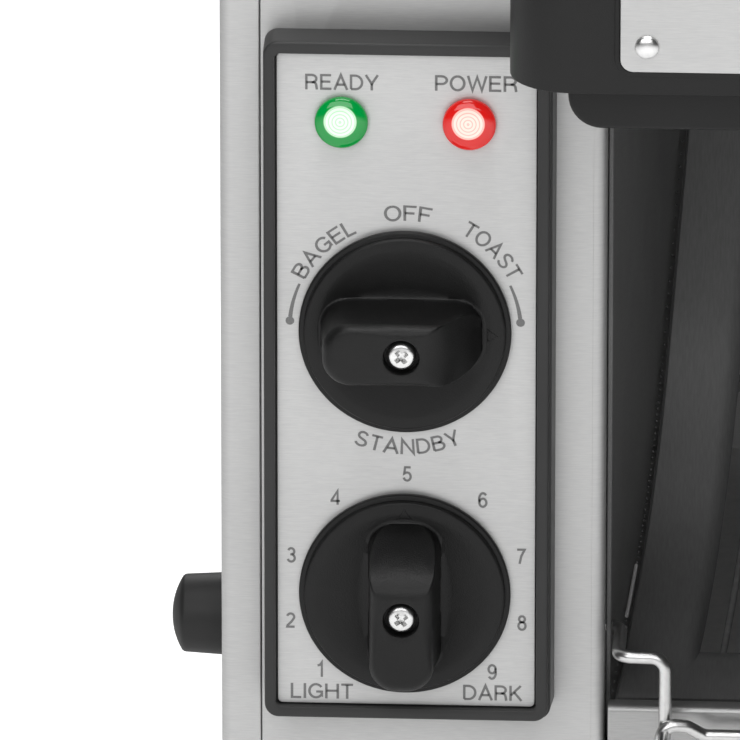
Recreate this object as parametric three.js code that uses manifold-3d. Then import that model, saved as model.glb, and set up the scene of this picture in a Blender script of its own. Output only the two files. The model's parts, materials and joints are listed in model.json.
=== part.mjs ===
// Horizontal conveyor toaster with a front toast return.
// The machine group measures x from the left side, y from the case front to the rear, and z up from the table.
import * as THREE from 'three';
import { mergeVertices } from 'three/addons/utils/BufferGeometryUtils.js';
import Module from 'manifold-3d';

const wasm = await Module();
wasm.setup();

// case, millimetres
const caseWidth = 368;
const caseDepth = 310;
const caseTop = 398;
const footHeight = 25;
const sheet = 1.2;
const gap = 0.3;
const panelBend = 1.6;
const flangeWidth = 9.6;
const bumperLength = 13;

// front opening and the chute behind it
const openingLeft = 92.2;
const openingRight = 345.8;
const chamberCentre = (openingLeft + openingRight) / 2;
const openingBottom = 32;
const openingTop = 381;
const hemDepth = 12;
const lipBottom = 62;
const lipTop = 76.5;
const chuteToeIn = 0.1024;
const chuteTop = 257;
const slideFoot = [6.6, 75.3];
const slideKnee = [75.9, 103.3];
const slideHead = [199.9, 274];
const slideKneeRadius = 120;
const slideBand = 19.5;

// conveyor
const axleHeight = 300;
const idlerY = -12;
const driveY = 120;
const beltRadius = 33;
const beltThickness = 3;
const rollerRadius = 29.5;
const shaftRadius = 6;
const bushRadius = 8;
const plateInset = 1.4;
const heaterRadius = 4;
const upperHeaters = [[40, 366], [105, 366]];
const lowerHeaters = [[35, 300], [72, 300]];

// hood over the front end of the conveyor
const hoodLeft = 71.75;
const hoodFront = -75;
const hoodBottom = 258;
const hoodTop = 333;
const hoodSheet = 1.5;
const hoodCorner = 15;

// control panel
const bezelFront = -10.5;
const plateFront = -8.5;
const controlX = 44.8;
const modeZ = 175;
const browningZ = 108.3;
const lampSpread = 15.2;
const lampZ = 227.3;
const knobRadius = 25.4;
const knobHeight = 20;
const knobSkirt = 3.5;
const modeRest = Math.PI / 2;

// toast rack
const rackWire = 1.6;
const rackPivot = [16, 91];
const rackSideX = 107.3;
const rackShelfZ = 70;
const rackFront = -96.4;

// drive
const motorShaft = [232, 215];
const sprocketX = 79;
const sprocketWidth = 5;
const driveTeeth = 20;
const motorTeeth = 10;
const toothRadius = 1.2;

// rear
const glandEnd = 322;
const fanCentre = [45, 102];
const depthCentre = (rackFront - rackWire + glandEnd) / 2;

const finish = {
  steel: new THREE.MeshStandardMaterial({ color: 0xb9b9b7, roughness: 0.35, metalness: 0.9 }),
  blackSteel: new THREE.MeshStandardMaterial({ color: 0x1c1c1d, roughness: 0.6, metalness: 0.2 }),
  darkSteel: new THREE.MeshStandardMaterial({ color: 0x39393a, roughness: 0.5, metalness: 0.5 }),
  chrome: new THREE.MeshStandardMaterial({ color: 0xd8dadb, roughness: 0.12, metalness: 1 }),
  plastic: new THREE.MeshStandardMaterial({ color: 0x202021, roughness: 0.6, metalness: 0 }),
  greyPlastic: new THREE.MeshStandardMaterial({ color: 0x3c3d3f, roughness: 0.55, metalness: 0 }),
  rubber: new THREE.MeshStandardMaterial({ color: 0x171718, roughness: 0.8, metalness: 0 }),
  bronze: new THREE.MeshStandardMaterial({ color: 0x8f6a3c, roughness: 0.45, metalness: 0.8 }),
  castIron: new THREE.MeshStandardMaterial({ color: 0x5d5f61, roughness: 0.6, metalness: 0.6 }),
  green: new THREE.MeshStandardMaterial({ color: 0x0c9a50, roughness: 0.2, metalness: 0 }),
  red: new THREE.MeshStandardMaterial({ color: 0xc8281f, roughness: 0.2, metalness: 0 })
};

const toaster = new THREE.Group();
const machine = new THREE.Group();
machine.position.set(-caseWidth / 2, -depthCentre, 0);
toaster.add(machine);

function addPart(name, geometry, material, position = [0, 0, 0], turnY = 0) {
  const mesh = new THREE.Mesh(geometry, material);
  mesh.name = name;
  mesh.position.set(...position);
  mesh.rotation.y = turnY;
  machine.add(mesh);
}

// solids and sheets

function solidOf(geometry) {
  const bare = geometry.clone();
  bare.deleteAttribute('normal');
  bare.deleteAttribute('uv');
  const merged = mergeVertices(bare, 1e-4);
  const mesh = new wasm.Mesh({
    numProp: 3,
    vertProperties: merged.attributes.position.array,
    triVerts: new Uint32Array(merged.index.array)
  });
  return new wasm.Manifold(mesh);
}

function geometryOf(solid) {
  const mesh = solid.getMesh();
  const geometry = new THREE.BufferGeometry();
  geometry.setAttribute('position', new THREE.BufferAttribute(mesh.vertProperties, 3));
  geometry.setIndex(new THREE.BufferAttribute(mesh.triVerts, 1));
  geometry.computeVertexNormals();
  return geometry;
}

function join(...geometries) {
  return geometryOf(geometries.map(solidOf).reduce((all, next) => all.add(next)));
}

function cut(geometry, ...tools) {
  return geometryOf(tools.map(solidOf).reduce((left, tool) => left.subtract(tool), solidOf(geometry)));
}

function common(geometry, other) {
  return geometryOf(solidOf(geometry).intersect(solidOf(other)));
}

function block(x0, x1, y0, y1, z0, z1) {
  const geometry = new THREE.BoxGeometry(x1 - x0, y1 - y0, z1 - z0);
  return geometry.translate((x0 + x1) / 2, (y0 + y1) / 2, (z0 + z1) / 2);
}

function shapeOf(points) {
  return new THREE.Shape(points.map(([a, b]) => new THREE.Vector2(a, b)));
}

function extruded(shape, length, curveSegments = 4) {
  return new THREE.ExtrudeGeometry(shape, { depth: length, bevelEnabled: false, curveSegments });
}

// a shape drawn in plan (x, y), standing from z0 to z1
function fromPlan(shape, z0, z1) {
  return extruded(shape, z1 - z0).translate(0, 0, z0);
}

// a shape drawn from the front (x, z), running from y0 to y1
function fromFront(shape, y0, y1) {
  return extruded(shape, y1 - y0).rotateX(Math.PI / 2).translate(0, y1, 0);
}

// a shape drawn from the side (y, z), running from x0 to x1
function fromSide(shape, x0, x1, curveSegments = 4) {
  const turn = new THREE.Matrix4().makeBasis(
    new THREE.Vector3(0, 1, 0), new THREE.Vector3(0, 0, 1), new THREE.Vector3(1, 0, 0));
  return extruded(shape, x1 - x0, curveSegments).applyMatrix4(turn).translate(x0, 0, 0);
}

function roundedRectangle(a0, b0, a1, b1, radius) {
  const shape = new THREE.Shape();
  shape.moveTo(a0 + radius, b0);
  shape.lineTo(a1 - radius, b0);
  shape.absarc(a1 - radius, b0 + radius, radius, -Math.PI / 2, 0);
  shape.lineTo(a1, b1 - radius);
  shape.absarc(a1 - radius, b1 - radius, radius, 0, Math.PI / 2);
  shape.lineTo(a0 + radius, b1);
  shape.absarc(a0 + radius, b1 - radius, radius, Math.PI / 2, Math.PI);
  shape.lineTo(a0, b0 + radius);
  shape.absarc(a0 + radius, b0 + radius, radius, Math.PI, Math.PI * 1.5);
  return shape;
}

// a path through corners, each corner rounded to a radius
function roundCorners(corners, radius, steps = 4) {
  const points = [corners[0].clone()];
  for (let i = 1; i < corners.length - 1; i += 1) {
    const into = corners[i].clone().sub(corners[i - 1]).normalize();
    const out = corners[i + 1].clone().sub(corners[i]).normalize();
    const turn = into.angleTo(out);
    const setback = radius * Math.tan(turn / 2);
    const start = corners[i].clone().addScaledVector(into, -setback);
    const end = corners[i].clone().addScaledVector(out, setback);
    const inward = out.clone().sub(into).normalize();
    const centre = corners[i].clone().addScaledVector(inward, radius / Math.cos(turn / 2));
    const armStart = start.sub(centre);
    const armEnd = end.sub(centre);
    for (let k = 0; k <= steps; k += 1) {
      const angle = turn * k / steps;
      const arm = armStart.clone().multiplyScalar(Math.sin(turn - angle));
      arm.addScaledVector(armEnd, Math.sin(angle)).divideScalar(Math.sin(turn));
      points.push(arm.add(centre));
    }
  }
  points.push(corners[corners.length - 1].clone());
  return points;
}

// the outline of a sheet folded along a centre line
function foldedSheet(corners, thickness, bendRadius, steps = 4) {
  const line = roundCorners(corners.map(([a, b]) => new THREE.Vector3(a, b, 0)), bendRadius, steps);
  const left = [];
  const right = [];
  line.forEach((point, i) => {
    const into = point.clone().sub(line[Math.max(i - 1, 0)]).normalize();
    const out = line[Math.min(i + 1, line.length - 1)].clone().sub(point).normalize();
    const along = into.clone().add(out).normalize();
    const nearest = into.lengthSq() > 0 && out.lengthSq() > 0 ? into.dot(along) : 1;
    const reach = thickness / 2 / nearest;
    left.push([point.x - along.y * reach, point.y + along.x * reach]);
    right.push([point.x + along.y * reach, point.y - along.x * reach]);
  });
  return shapeOf([...left, ...right.reverse()]);
}

class WireLine extends THREE.Curve {
  constructor(points) {
    super();
    this.points = points;
  }

  getPoint(t, target = new THREE.Vector3()) {
    const place = t * (this.points.length - 1);
    const i = Math.min(Math.floor(place), this.points.length - 2);
    return target.lerpVectors(this.points[i], this.points[i + 1], place - i);
  }

  getPointAt(u, target) {
    return this.getPoint(u, target);
  }

  getTangentAt(u, target = new THREE.Vector3()) {
    const last = this.points.length - 1;
    const i = Math.round(u * last);
    const into = this.points[i].clone().sub(this.points[Math.max(i - 1, 0)]).normalize();
    const out = this.points[Math.min(i + 1, last)].clone().sub(this.points[i]).normalize();
    return target.addVectors(into, out).normalize();
  }
}

function wire(corners, radius, bend, sides = 5, steps = 2) {
  const points = roundCorners(corners.map((corner) => new THREE.Vector3(...corner)), bend, steps);
  const section = [];
  for (let k = 0; k < sides; k += 1) {
    const angle = 2 * Math.PI * (k + 0.5) / sides;
    section.push([radius * Math.cos(angle), radius * Math.sin(angle)]);
  }
  return new THREE.ExtrudeGeometry(shapeOf(section), {
    steps: points.length - 1,
    bevelEnabled: false,
    extrudePath: new WireLine(points)
  });
}

// a turned solid: profile pairs are (radius, distance along the axis)
function turned(profile, segments = 16) {
  return new THREE.LatheGeometry(profile.map(([r, h]) => new THREE.Vector2(r, h)), segments);
}

function alongX(geometry) {
  return geometry.rotateZ(-Math.PI / 2);
}

function alongZ(geometry) {
  return geometry.rotateX(Math.PI / 2);
}

function rodX(x0, x1, y, z, radius, segments = 14) {
  return alongX(turned([[0, x0], [radius, x0], [radius, x1], [0, x1]], segments)).translate(0, y, z);
}

function rodY(y0, y1, x, z, radius, segments = 16) {
  return turned([[0, y0], [radius, y0], [radius, y1], [0, y1]], segments).translate(x, 0, z);
}

// the same place on the other side of the case
function mirrored(x) {
  return caseWidth - x;
}

// the same place on the other side of the toasting chamber, which sits right of the controls
function across(x) {
  return 2 * chamberCentre - x;
}

// case

function sidePanel(side) {
  const at = side === 'left' ? (x) => x : mirrored;
  const half = sheet / 2;
  const outline = foldedSheet(
    [[at(flangeWidth), half], [at(half), half], [at(half), caseDepth - sheet - gap]], sheet, panelBend);
  const panel = fromPlan(outline, footHeight, caseTop - sheet - gap);
  const louvres = [];
  for (let row = 0; row < 8; row += 1) {
    const z = 60 + row * 11;
    const x = at(half);
    louvres.push(block(x - 2, x + 2, 190, 250, z, z + 4));
  }
  return cut(panel, ...louvres);
}

function frontPanel() {
  const top = caseTop - sheet - gap;
  const panel = block(flangeWidth + gap, mirrored(flangeWidth + gap), 0, sheet, footHeight + sheet + gap, top);
  const opening = block(openingLeft, openingRight, -1, sheet + 1, openingBottom, openingTop);
  const controlCut = block(19, 71, -1, sheet + 1, 88, 238);
  const hemLeft = block(openingLeft - sheet, openingLeft, sheet / 2, hemDepth, openingBottom, openingTop);
  const hemRight = block(openingRight, openingRight + sheet, sheet / 2, hemDepth, openingBottom, openingTop);
  return join(cut(panel, opening, controlCut), hemLeft, hemRight);
}

function topCover() {
  const inner = sheet + gap;
  const plate = fromPlan(roundedRectangle(0, 0, caseWidth, caseDepth - sheet - gap, 2), caseTop - sheet, caseTop);
  const flange = (x) => block(x, x + sheet, 12, caseDepth - 14, caseTop - 12, caseTop - sheet / 2);
  return join(plate, flange(inner), flange(caseWidth - inner - sheet));
}

function basePan() {
  const half = sheet / 2;
  const side = sheet + gap + half;
  const outline = foldedSheet(
    [[side, 38], [side, footHeight + half], [mirrored(side), footHeight + half], [mirrored(side), 38]],
    sheet, panelBend);
  const slots = [];
  for (let row = 0; row < 6; row += 1) {
    slots.push(block(20, 75, 60 + row * 12, 65 + row * 12, footHeight - 1, footHeight + 3));
  }
  return cut(fromFront(outline, sheet + gap, caseDepth - sheet - gap), ...slots);
}

function rearCover() {
  const [fanX, fanZ] = fanCentre;
  const outline = roundedRectangle(0, footHeight, caseWidth, caseTop - sheet - gap, 2);
  const plate = fromFront(outline, caseDepth - sheet, caseDepth);
  const through = [caseDepth - 4, caseDepth + 2];
  const tools = [
    rodY(...through, 45, 50, 9),
    rodY(...through, 62, 162, 6)
  ];
  for (let row = -3; row <= 3; row += 1) {
    const half = Math.sqrt(27 ** 2 - (row * 7) ** 2);
    tools.push(block(fanX - half, fanX + half, ...through, fanZ + row * 7 - 2, fanZ + row * 7 + 2));
  }
  for (let row = 0; row < 10; row += 1) {
    tools.push(block(140, 300, ...through, 230 + row * 12, 234 + row * 12));
  }
  return cut(plate, ...tools);
}

function partitionWall() {
  const right = openingLeft - sheet - 0.4;
  const wall = block(right - sheet, right, 1.6, caseDepth - 1.8, footHeight + 2, caseTop - 3);
  return cut(wall, rodX(right - 4, right + 2, driveY, axleHeight, 10));
}

function foot() {
  return alongZ(turned([[0, 0], [13.5, 0], [15, 1.5], [16, footHeight - gap], [0, footHeight - gap]], 20));
}

// a round rubber bumper, its base on the plane x = 0 and its dome pointing to -x
function bumper() {
  const shoulder = bumperLength - 3;
  const profile = [[0, 0], [10, 0], [9.5, shoulder], [8, bumperLength - 1.1], [4.5, bumperLength - 0.2], [0, bumperLength]];
  return alongX(turned(profile, 20)).rotateZ(Math.PI);
}

function makeCase() {
  addPart('base_pan', basePan(), finish.steel);
  addPart('left_side_panel', sidePanel('left'), finish.steel);
  addPart('right_side_panel', sidePanel('right'), finish.steel);
  addPart('front_panel', frontPanel(), finish.steel);
  addPart('top_cover', topCover(), finish.steel);
  addPart('rear_cover', rearCover(), finish.steel);
  addPart('partition_wall', partitionWall(), finish.steel);
  for (const [end, y] of [['front', 28], ['rear', 282]]) {
    addPart(`${end}_left_foot`, foot(), finish.rubber, [28, y, 0]);
    addPart(`${end}_right_foot`, foot(), finish.rubber, [caseWidth - 28, y, 0]);
  }
  addPart('left_bumper', bumper(), finish.rubber, [-gap, 25, 89]);
  addPart('right_bumper', bumper().rotateZ(Math.PI), finish.rubber, [caseWidth + gap, 25, 89]);
}

// control panel

function controlBezel() {
  const frame = fromFront(roundedRectangle(11.1, 76.1, 79.2, 247.6, 3), bezelFront, -gap);
  const recess = fromFront(roundedRectangle(13.9, 78.9, 76.3, 244.6, 1.5), bezelFront - 1, -7.2);
  const through = fromFront(roundedRectangle(18, 84, 72, 240, 2), -8, 2);
  return cut(frame, recess, through);
}

function controlPlate() {
  const plate = fromFront(roundedRectangle(14.2, 79.2, 76, 244.3, 1.2), plateFront, plateFront + 1);
  const holes = [
    rodY(-12, -4, controlX, modeZ, 4.2),
    rodY(-12, -4, controlX, browningZ, 4.2),
    rodY(-12, -4, controlX - lampSpread, lampZ, 5.4),
    rodY(-12, -4, controlX + lampSpread, lampZ, 5.4)
  ];
  return cut(plate, ...holes);
}

// a dial on its own axis: y = 0 is the plate's face, the pointer looks to +z
function dial() {
  const top = knobHeight;
  const profile = [
    [0, -3.5], [3.4, -3.5], [3.4, 0.5], [knobRadius, 0.5], [knobRadius, 2.4], [knobRadius - 1, knobSkirt],
    [20.4, knobSkirt], [14, 2.7], [0, 2.2]
  ];
  const skirt = turned(profile.map(([r, h]) => [r, -h]).reverse(), 28);
  const bar = fromFront(roundedRectangle(-7.6, -18.8, 7.6, 18.6, 6.4), -top, -1.5);
  const nose = shapeOf([[-top - 1, 8], [-top - 1, 20], [-knobSkirt - 0.6, 20], [-knobSkirt - 0.6, 18], [-6.5, 12.5]]);
  const slope = fromSide(nose, -10, 10);
  const counterbore = rodY(-top - 1, -top + 3.6, 0, 0, 4.4);
  return cut(join(skirt, bar), slope, counterbore);
}

function dialScrew() {
  const face = -knobHeight;
  return turned([[0, face + 0.4], [2.2, face + 0.7], [3.3, face + 1.6], [3.3, face + 3.2], [0, face + 3.2]]);
}

function lamp() {
  const profile = [[0, 14], [5, 14], [5, -0.2], [6.35, -0.2], [6.35, -1.4]];
  for (let k = 1; k < 4; k += 1) {
    const angle = (Math.PI / 2) * k / 4;
    profile.push([6.35 * Math.cos(angle), -1.4 - 3 * Math.sin(angle)]);
  }
  profile.push([0, -4.4]);
  return turned(profile.reverse(), 18);
}

function makeControls() {
  addPart('control_bezel', controlBezel(), finish.greyPlastic);
  addPart('control_plate', controlPlate(), finish.steel);
  addPart('mode_knob', dial(), finish.plastic, [controlX, plateFront, modeZ], modeRest);
  addPart('mode_knob_screw', dialScrew(), finish.chrome, [controlX, plateFront, modeZ]);
  addPart('browning_knob', dial(), finish.plastic, [controlX, plateFront, browningZ]);
  addPart('browning_knob_screw', dialScrew(), finish.chrome, [controlX, plateFront, browningZ]);
  addPart('mode_switch', block(controlX - 14, controlX + 14, -4.4, 30, modeZ - 14, modeZ + 14), finish.plastic);
  addPart('speed_control', rodY(-4.4, 16, controlX, browningZ, 13), finish.castIron);
  addPart('ready_lamp', lamp(), finish.green, [controlX - lampSpread, plateFront, lampZ]);
  addPart('power_lamp', lamp(), finish.red, [controlX + lampSpread, plateFront, lampZ]);
}

// hood

function hoodShell() {
  const half = hoodSheet / 2;
  const right = across(hoodLeft);
  const wallLine = [
    [hoodLeft + half, -0.4], [hoodLeft + half, hoodFront + half], [right - half, hoodFront + half], [right - half, -0.4]
  ];
  const wall = fromPlan(foldedSheet(wallLine, hoodSheet, hoodCorner - half, 6), hoodBottom, hoodTop);
  const deckShape = roundedRectangle(hoodLeft, hoodFront, right, 20, hoodCorner);
  const deck = fromPlan(deckShape, hoodTop - hoodSheet, hoodTop);
  const behind = block(0, caseWidth, -0.4, 30, hoodTop - 4, hoodTop + 4);
  const beltGap = block(openingLeft + 0.6, openingRight - 0.6, -50, 10, hoodTop - 4, hoodTop + 4);
  return join(wall, cut(deck, behind, beltGap));
}

function noseGuard() {
  const left = 85.3;
  const front = -60;
  const bottom = 244.2;
  const corner = 8;
  const outer = fromFront(roundedRectangle(left, bottom, across(left), 270, corner), front, -1);
  const inner = fromFront(
    roundedRectangle(left + sheet, bottom + sheet, across(left) - sheet, 271, corner - 1), front + sheet, 3);
  const above = block(0, caseWidth, -80, 10, hoodBottom - gap, 290);
  return cut(outer, inner, above);
}

function makeHood() {
  const plate = fromFront(roundedRectangle(98, 264, 340, 325.5, 3), hoodFront - 1.4, hoodFront - gap);
  addPart('hood_shell', hoodShell(), finish.blackSteel);
  addPart('hood_plate', plate, finish.steel);
  addPart('nose_guard', noseGuard(), finish.blackSteel);
}

// chute and toast rack

// how far the inner face of a chute wall stands from its side of the case
function chuteInset(y) {
  return openingLeft + chuteToeIn * y;
}

function toedIn(geometry, side) {
  const lean = side === 'left' ? chuteToeIn : -chuteToeIn;
  return geometry.applyMatrix4(new THREE.Matrix4().set(1, lean, 0, 0, 0, 1, 0, 0, 0, 0, 1, 0, 0, 0, 0, 1));
}

function chuteWall(side) {
  const outline = shapeOf([
    [hemDepth + 1.3, 63.2], [40, 63.2], [66, 78], [112, 124], [190, 230], [190, chuteTop], [hemDepth + 1.3, chuteTop]
  ]);
  const start = side === 'left' ? openingLeft - sheet : openingRight;
  const wall = toedIn(fromSide(outline, start, start + sheet), side);
  const pin = rodX(start - 6, start + 6, ...rackPivot, rackWire + 0.5, 12);
  return cut(wall, pin);
}

function slideLine() {
  return foldedSheet([slideFoot, slideKnee, slideHead], sheet, slideKneeRadius, 8);
}

// a plan trapezium that follows the toe-in of the walls, its sides moved in by a margin
function betweenWalls(margin, y0, y1, z0, z1) {
  const left = (y) => chuteInset(y) + margin;
  return fromPlan(shapeOf([
    [left(y0), y0], [across(left(y0)), y0], [across(left(y1)), y1], [left(y1), y1]
  ]), z0, z1);
}

function toastSlide() {
  const sheetBody = fromSide(slideLine(), 80, across(80));
  const trimmed = common(sheetBody, betweenWalls(gap, 0, 230, 60, 300));
  return cut(trimmed, betweenWalls(slideBand, 14, 150, 60, 240));
}

function slideGrille() {
  const count = 11;
  const radius = 1;
  const under = sheet / 2 + gap + radius;
  const ends = [[14, 78.3], [75.9, 103.3], [158, 216.3]];
  const firstInset = (y) => chuteInset(y) + slideBand + 6;
  const wires = [];
  for (let k = 0; k < count; k += 1) {
    const share = k / (count - 1);
    const corners = ends.map(([y, z]) => {
      const left = firstInset(y);
      return [left + (across(left) - left) * share, y + under * 0.4, z - under * 0.95];
    });
    wires.push(wire(corners, radius, 110, 5, 3));
  }
  for (const [y, z] of [[20, 80.7], [98, 133.8], [146, 199.8]]) {
    const left = firstInset(y) - 12;
    wires.push(wire([[left, y + 2, z - 3.2], [across(left), y + 2, z - 3.2]], radius, 1));
  }
  return join(...wires);
}

function dischargeLip() {
  const half = sheet / 2;
  const outline = foldedSheet([[half, lipBottom], [half, lipTop - half], [5.6, lipTop - half - 0.4]], sheet, 1.4);
  return fromSide(outline, openingLeft + 1.1, openingRight - 1.1);
}

function crumbTray() {
  const left = 95;
  const floorZ = 33;
  const back = 296;
  const wallTop = 50;
  const pan = cut(
    block(left, across(left), 0.4, back, floorZ, wallTop),
    block(left + sheet, across(left) - sheet, sheet, back - sheet, floorZ + sheet, wallTop + 1));
  const front = block(openingLeft + 0.6, openingRight - 0.6, 0, sheet, openingBottom + 0.6, lipBottom - 0.5);
  const pull = foldedSheet([[0.4, 50], [-13, 50], [-13, 43]], sheet, 2);
  return join(pan, front, fromSide(pull, chamberCentre - 30, chamberCentre + 30));
}

function toastRack() {
  const [pivotY, pivotZ] = rackPivot;
  const hookX = 95.9;
  const hangY = -5;
  const dropZ = 72.5;
  const stopTop = rackShelfZ + 18;
  const wires = [];
  for (const at of [(x) => x, across]) {
    wires.push(wire([
      [at(91.3), pivotY, pivotZ], [at(hookX), pivotY, pivotZ], [at(hookX), hangY + 0.6, pivotZ],
      [at(rackSideX), hangY, pivotZ], [at(rackSideX), hangY, dropZ], [at(rackSideX), rackFront, rackShelfZ],
      [at(rackSideX), rackFront, stopTop]
    ], rackWire, 2.6, 6, 3));
  }
  const cross = (y, z) => wire([[rackSideX, y, z], [across(rackSideX), y, z]], rackWire, 1);
  wires.push(cross(hangY - 1, dropZ), cross(-50, rackShelfZ + 1), cross(rackFront, stopTop));
  for (let k = -5; k <= 5; k += 1) {
    const x = chamberCentre + 18 * k;
    wires.push(wire([
      [x, hangY - 1, dropZ - 2], [x, rackFront, rackShelfZ - 0.5], [x, rackFront, stopTop]
    ], 1.2, 3));
  }
  return join(...wires);
}

function makeChute() {
  addPart('left_chute_wall', chuteWall('left'), finish.darkSteel);
  addPart('right_chute_wall', chuteWall('right'), finish.darkSteel);
  addPart('toast_slide', toastSlide(), finish.darkSteel);
  addPart('slide_grille', slideGrille(), finish.chrome);
  addPart('discharge_lip', dischargeLip(), finish.steel);
  addPart('crumb_tray', crumbTray(), finish.steel);
  addPart('toast_rack', toastRack(), finish.chrome);
}

// conveyor

function conveyorPlate(side) {
  const left = openingLeft + plateInset;
  const x0 = side === 'left' ? left : across(left + sheet);
  const outline = roundedRectangle(-46, 262, 200, 378, 10);
  const holes = [[idlerY, axleHeight], [driveY, axleHeight]].map(
    ([y, z]) => rodX(x0 - 3, x0 + 4, y, z, bushRadius + gap));
  for (const [y, z] of [...upperHeaters, ...lowerHeaters]) {
    holes.push(rodX(x0 - 3, x0 + 4, y, z, heaterRadius + 0.5, 10));
  }
  return cut(fromSide(outline, x0, x0 + sheet), ...holes);
}

function stadium(y0, y1, z, radius) {
  const shape = new THREE.Shape();
  shape.moveTo(y0, z - radius);
  shape.lineTo(y1, z - radius);
  shape.absarc(y1, z, radius, -Math.PI / 2, Math.PI / 2);
  shape.lineTo(y0, z + radius);
  shape.absarc(y0, z, radius, Math.PI / 2, Math.PI * 1.5);
  return shape;
}

function wireBelt() {
  const x0 = 99.5;
  const loop = (radius, margin) => fromSide(
    stadium(idlerY, driveY, axleHeight, radius), x0 - margin, across(x0) + margin, 12);
  return cut(loop(beltRadius, 0), loop(beltRadius - beltThickness, 2));
}

// a row of belt wheels on one sleeve
function roller() {
  const half = 115;
  const bore = shaftRadius + gap;
  const sleeve = 10;
  const wheels = 6;
  const wheelWidth = 8;
  const pitch = (2 * half - wheelWidth) / (wheels - 1);
  const profile = [[bore, -half]];
  for (let k = 0; k < wheels; k += 1) {
    const start = -half + pitch * k;
    const end = start + wheelWidth;
    if (k > 0) profile.push([sleeve, start]);
    profile.push([rollerRadius, start], [rollerRadius, end]);
    if (k < wheels - 1) profile.push([sleeve, end]);
  }
  profile.push([bore, half], [bore, -half]);
  return alongX(turned(profile, 20));
}

// a flanged bush, its barrel pointing to -x and its flange to +x
function bush() {
  const bore = shaftRadius + gap;
  return alongX(turned([
    [bore, -1.7], [bushRadius, -1.7], [bushRadius, 1.1], [12, 1.1], [12, 3.6], [bore, 3.6], [bore, -1.7]
  ]));
}

function sprocket(teeth, pitchRadius, hubLength) {
  const shape = new THREE.Shape();
  const perTooth = 4;
  for (let k = 0; k < teeth * perTooth; k += 1) {
    const angle = 2 * Math.PI * k / (teeth * perTooth);
    const rise = k % perTooth < 2 ? toothRadius : -toothRadius;
    const radius = pitchRadius + rise;
    const point = [radius * Math.cos(angle), radius * Math.sin(angle)];
    if (k === 0) shape.moveTo(...point);
    else shape.lineTo(...point);
  }
  const wheel = fromSide(shape, 0, sprocketWidth);
  const hub = rodX(-hubLength, sprocketWidth / 2, 0, 0, pitchRadius > 15 ? 12 : 7);
  return join(wheel, hub);
}

// the loop of a chain over two wheels of different size
function chainLoop(clearance) {
  const [y1, z1, r1] = [driveY, axleHeight, 24 + clearance];
  const [y2, z2, r2] = [...motorShaft, 12 + clearance];
  const apart = Math.hypot(y2 - y1, z2 - z1);
  const heading = Math.atan2(z2 - z1, y2 - y1);
  const spread = Math.acos((r1 - r2) / apart);
  const shape = new THREE.Shape();
  shape.absarc(y1, z1, r1, heading + spread, heading - spread + 2 * Math.PI);
  shape.absarc(y2, z2, r2, heading - spread, heading + spread);
  return shape;
}

function driveChain() {
  const inner = toothRadius + gap;
  const x0 = sprocketX + 0.2;
  const x1 = sprocketX + sprocketWidth - 0.2;
  return cut(fromSide(chainLoop(inner + 4), x0, x1, 12), fromSide(chainLoop(inner + 0.3), x0 - 2, x1 + 2, 12));
}

function gearMotor() {
  const [y, z] = motorShaft;
  const gearbox = fromSide(roundedRectangle(y - 28, z - 26, y + 34, z + 30, 6), 42, 74);
  const can = rodX(8, 42.5, y + 6, z, 24, 20);
  return cut(join(gearbox, can), rodX(60, 80, y, z, 7.4));
}

function motorBracket() {
  const bottom = motorShaft[1] - 26 - gap;
  const right = openingLeft - 2 * sheet - 0.8;
  const outline = foldedSheet([[20, bottom - 0.8], [right - 0.8, bottom - 0.8], [right - 0.8, bottom - 32]], 1.6, 2);
  return fromFront(outline, motorShaft[0] - 30, motorShaft[0] + 36);
}

function heater([y, z]) {
  return rodX(91.4, across(91.4), y, z, heaterRadius, 10);
}

function reflector(y0, y1, z, rise) {
  const x0 = openingLeft + plateInset + sheet + 1.6;
  return fromSide(foldedSheet([[y0, z + rise], [y0 + 8, z], [y1 - 8, z], [y1, z + rise]], 1, 3), x0, across(x0));
}

function makeConveyor() {
  const leftPlate = openingLeft + plateInset + sheet / 2;
  addPart('left_conveyor_plate', conveyorPlate('left'), finish.steel);
  addPart('right_conveyor_plate', conveyorPlate('right'), finish.steel);
  addPart('wire_belt', wireBelt(), finish.chrome);
  addPart('drive_shaft', rodX(78, 352, driveY, axleHeight, shaftRadius), finish.steel);
  addPart('idler_shaft', rodX(88, 350, idlerY, axleHeight, shaftRadius), finish.steel);
  for (const [name, y] of [['drive', driveY], ['idler', idlerY]]) {
    addPart(`${name}_roller`, roller(), finish.steel, [chamberCentre, y, axleHeight]);
    addPart(`${name}_left_bush`, bush(), finish.bronze, [leftPlate, y, axleHeight]);
    addPart(`${name}_right_bush`, bush().rotateZ(Math.PI), finish.bronze, [across(leftPlate), y, axleHeight]);
  }
  addPart('drive_sprocket', cut(sprocket(driveTeeth, 24, 3), rodX(-9, 12, 0, 0, shaftRadius + gap)),
    finish.castIron, [sprocketX, driveY, axleHeight]);
  addPart('motor_sprocket', sprocket(motorTeeth, 12, 18), finish.castIron, [sprocketX, ...motorShaft]);
  addPart('drive_chain', driveChain(), finish.castIron);
  addPart('gear_motor', gearMotor(), finish.castIron);
  addPart('motor_bracket', motorBracket(), finish.steel);
  addPart('upper_front_heater', heater(upperHeaters[0]), finish.castIron);
  addPart('upper_rear_heater', heater(upperHeaters[1]), finish.castIron);
  addPart('lower_front_heater', heater(lowerHeaters[0]), finish.castIron);
  addPart('lower_rear_heater', heater(lowerHeaters[1]), finish.castIron);
  addPart('upper_reflector', reflector(6, 150, 375, -6), finish.steel);
  addPart('lower_reflector', reflector(22, 86, 283, 6), finish.steel);
}

// rear services

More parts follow.
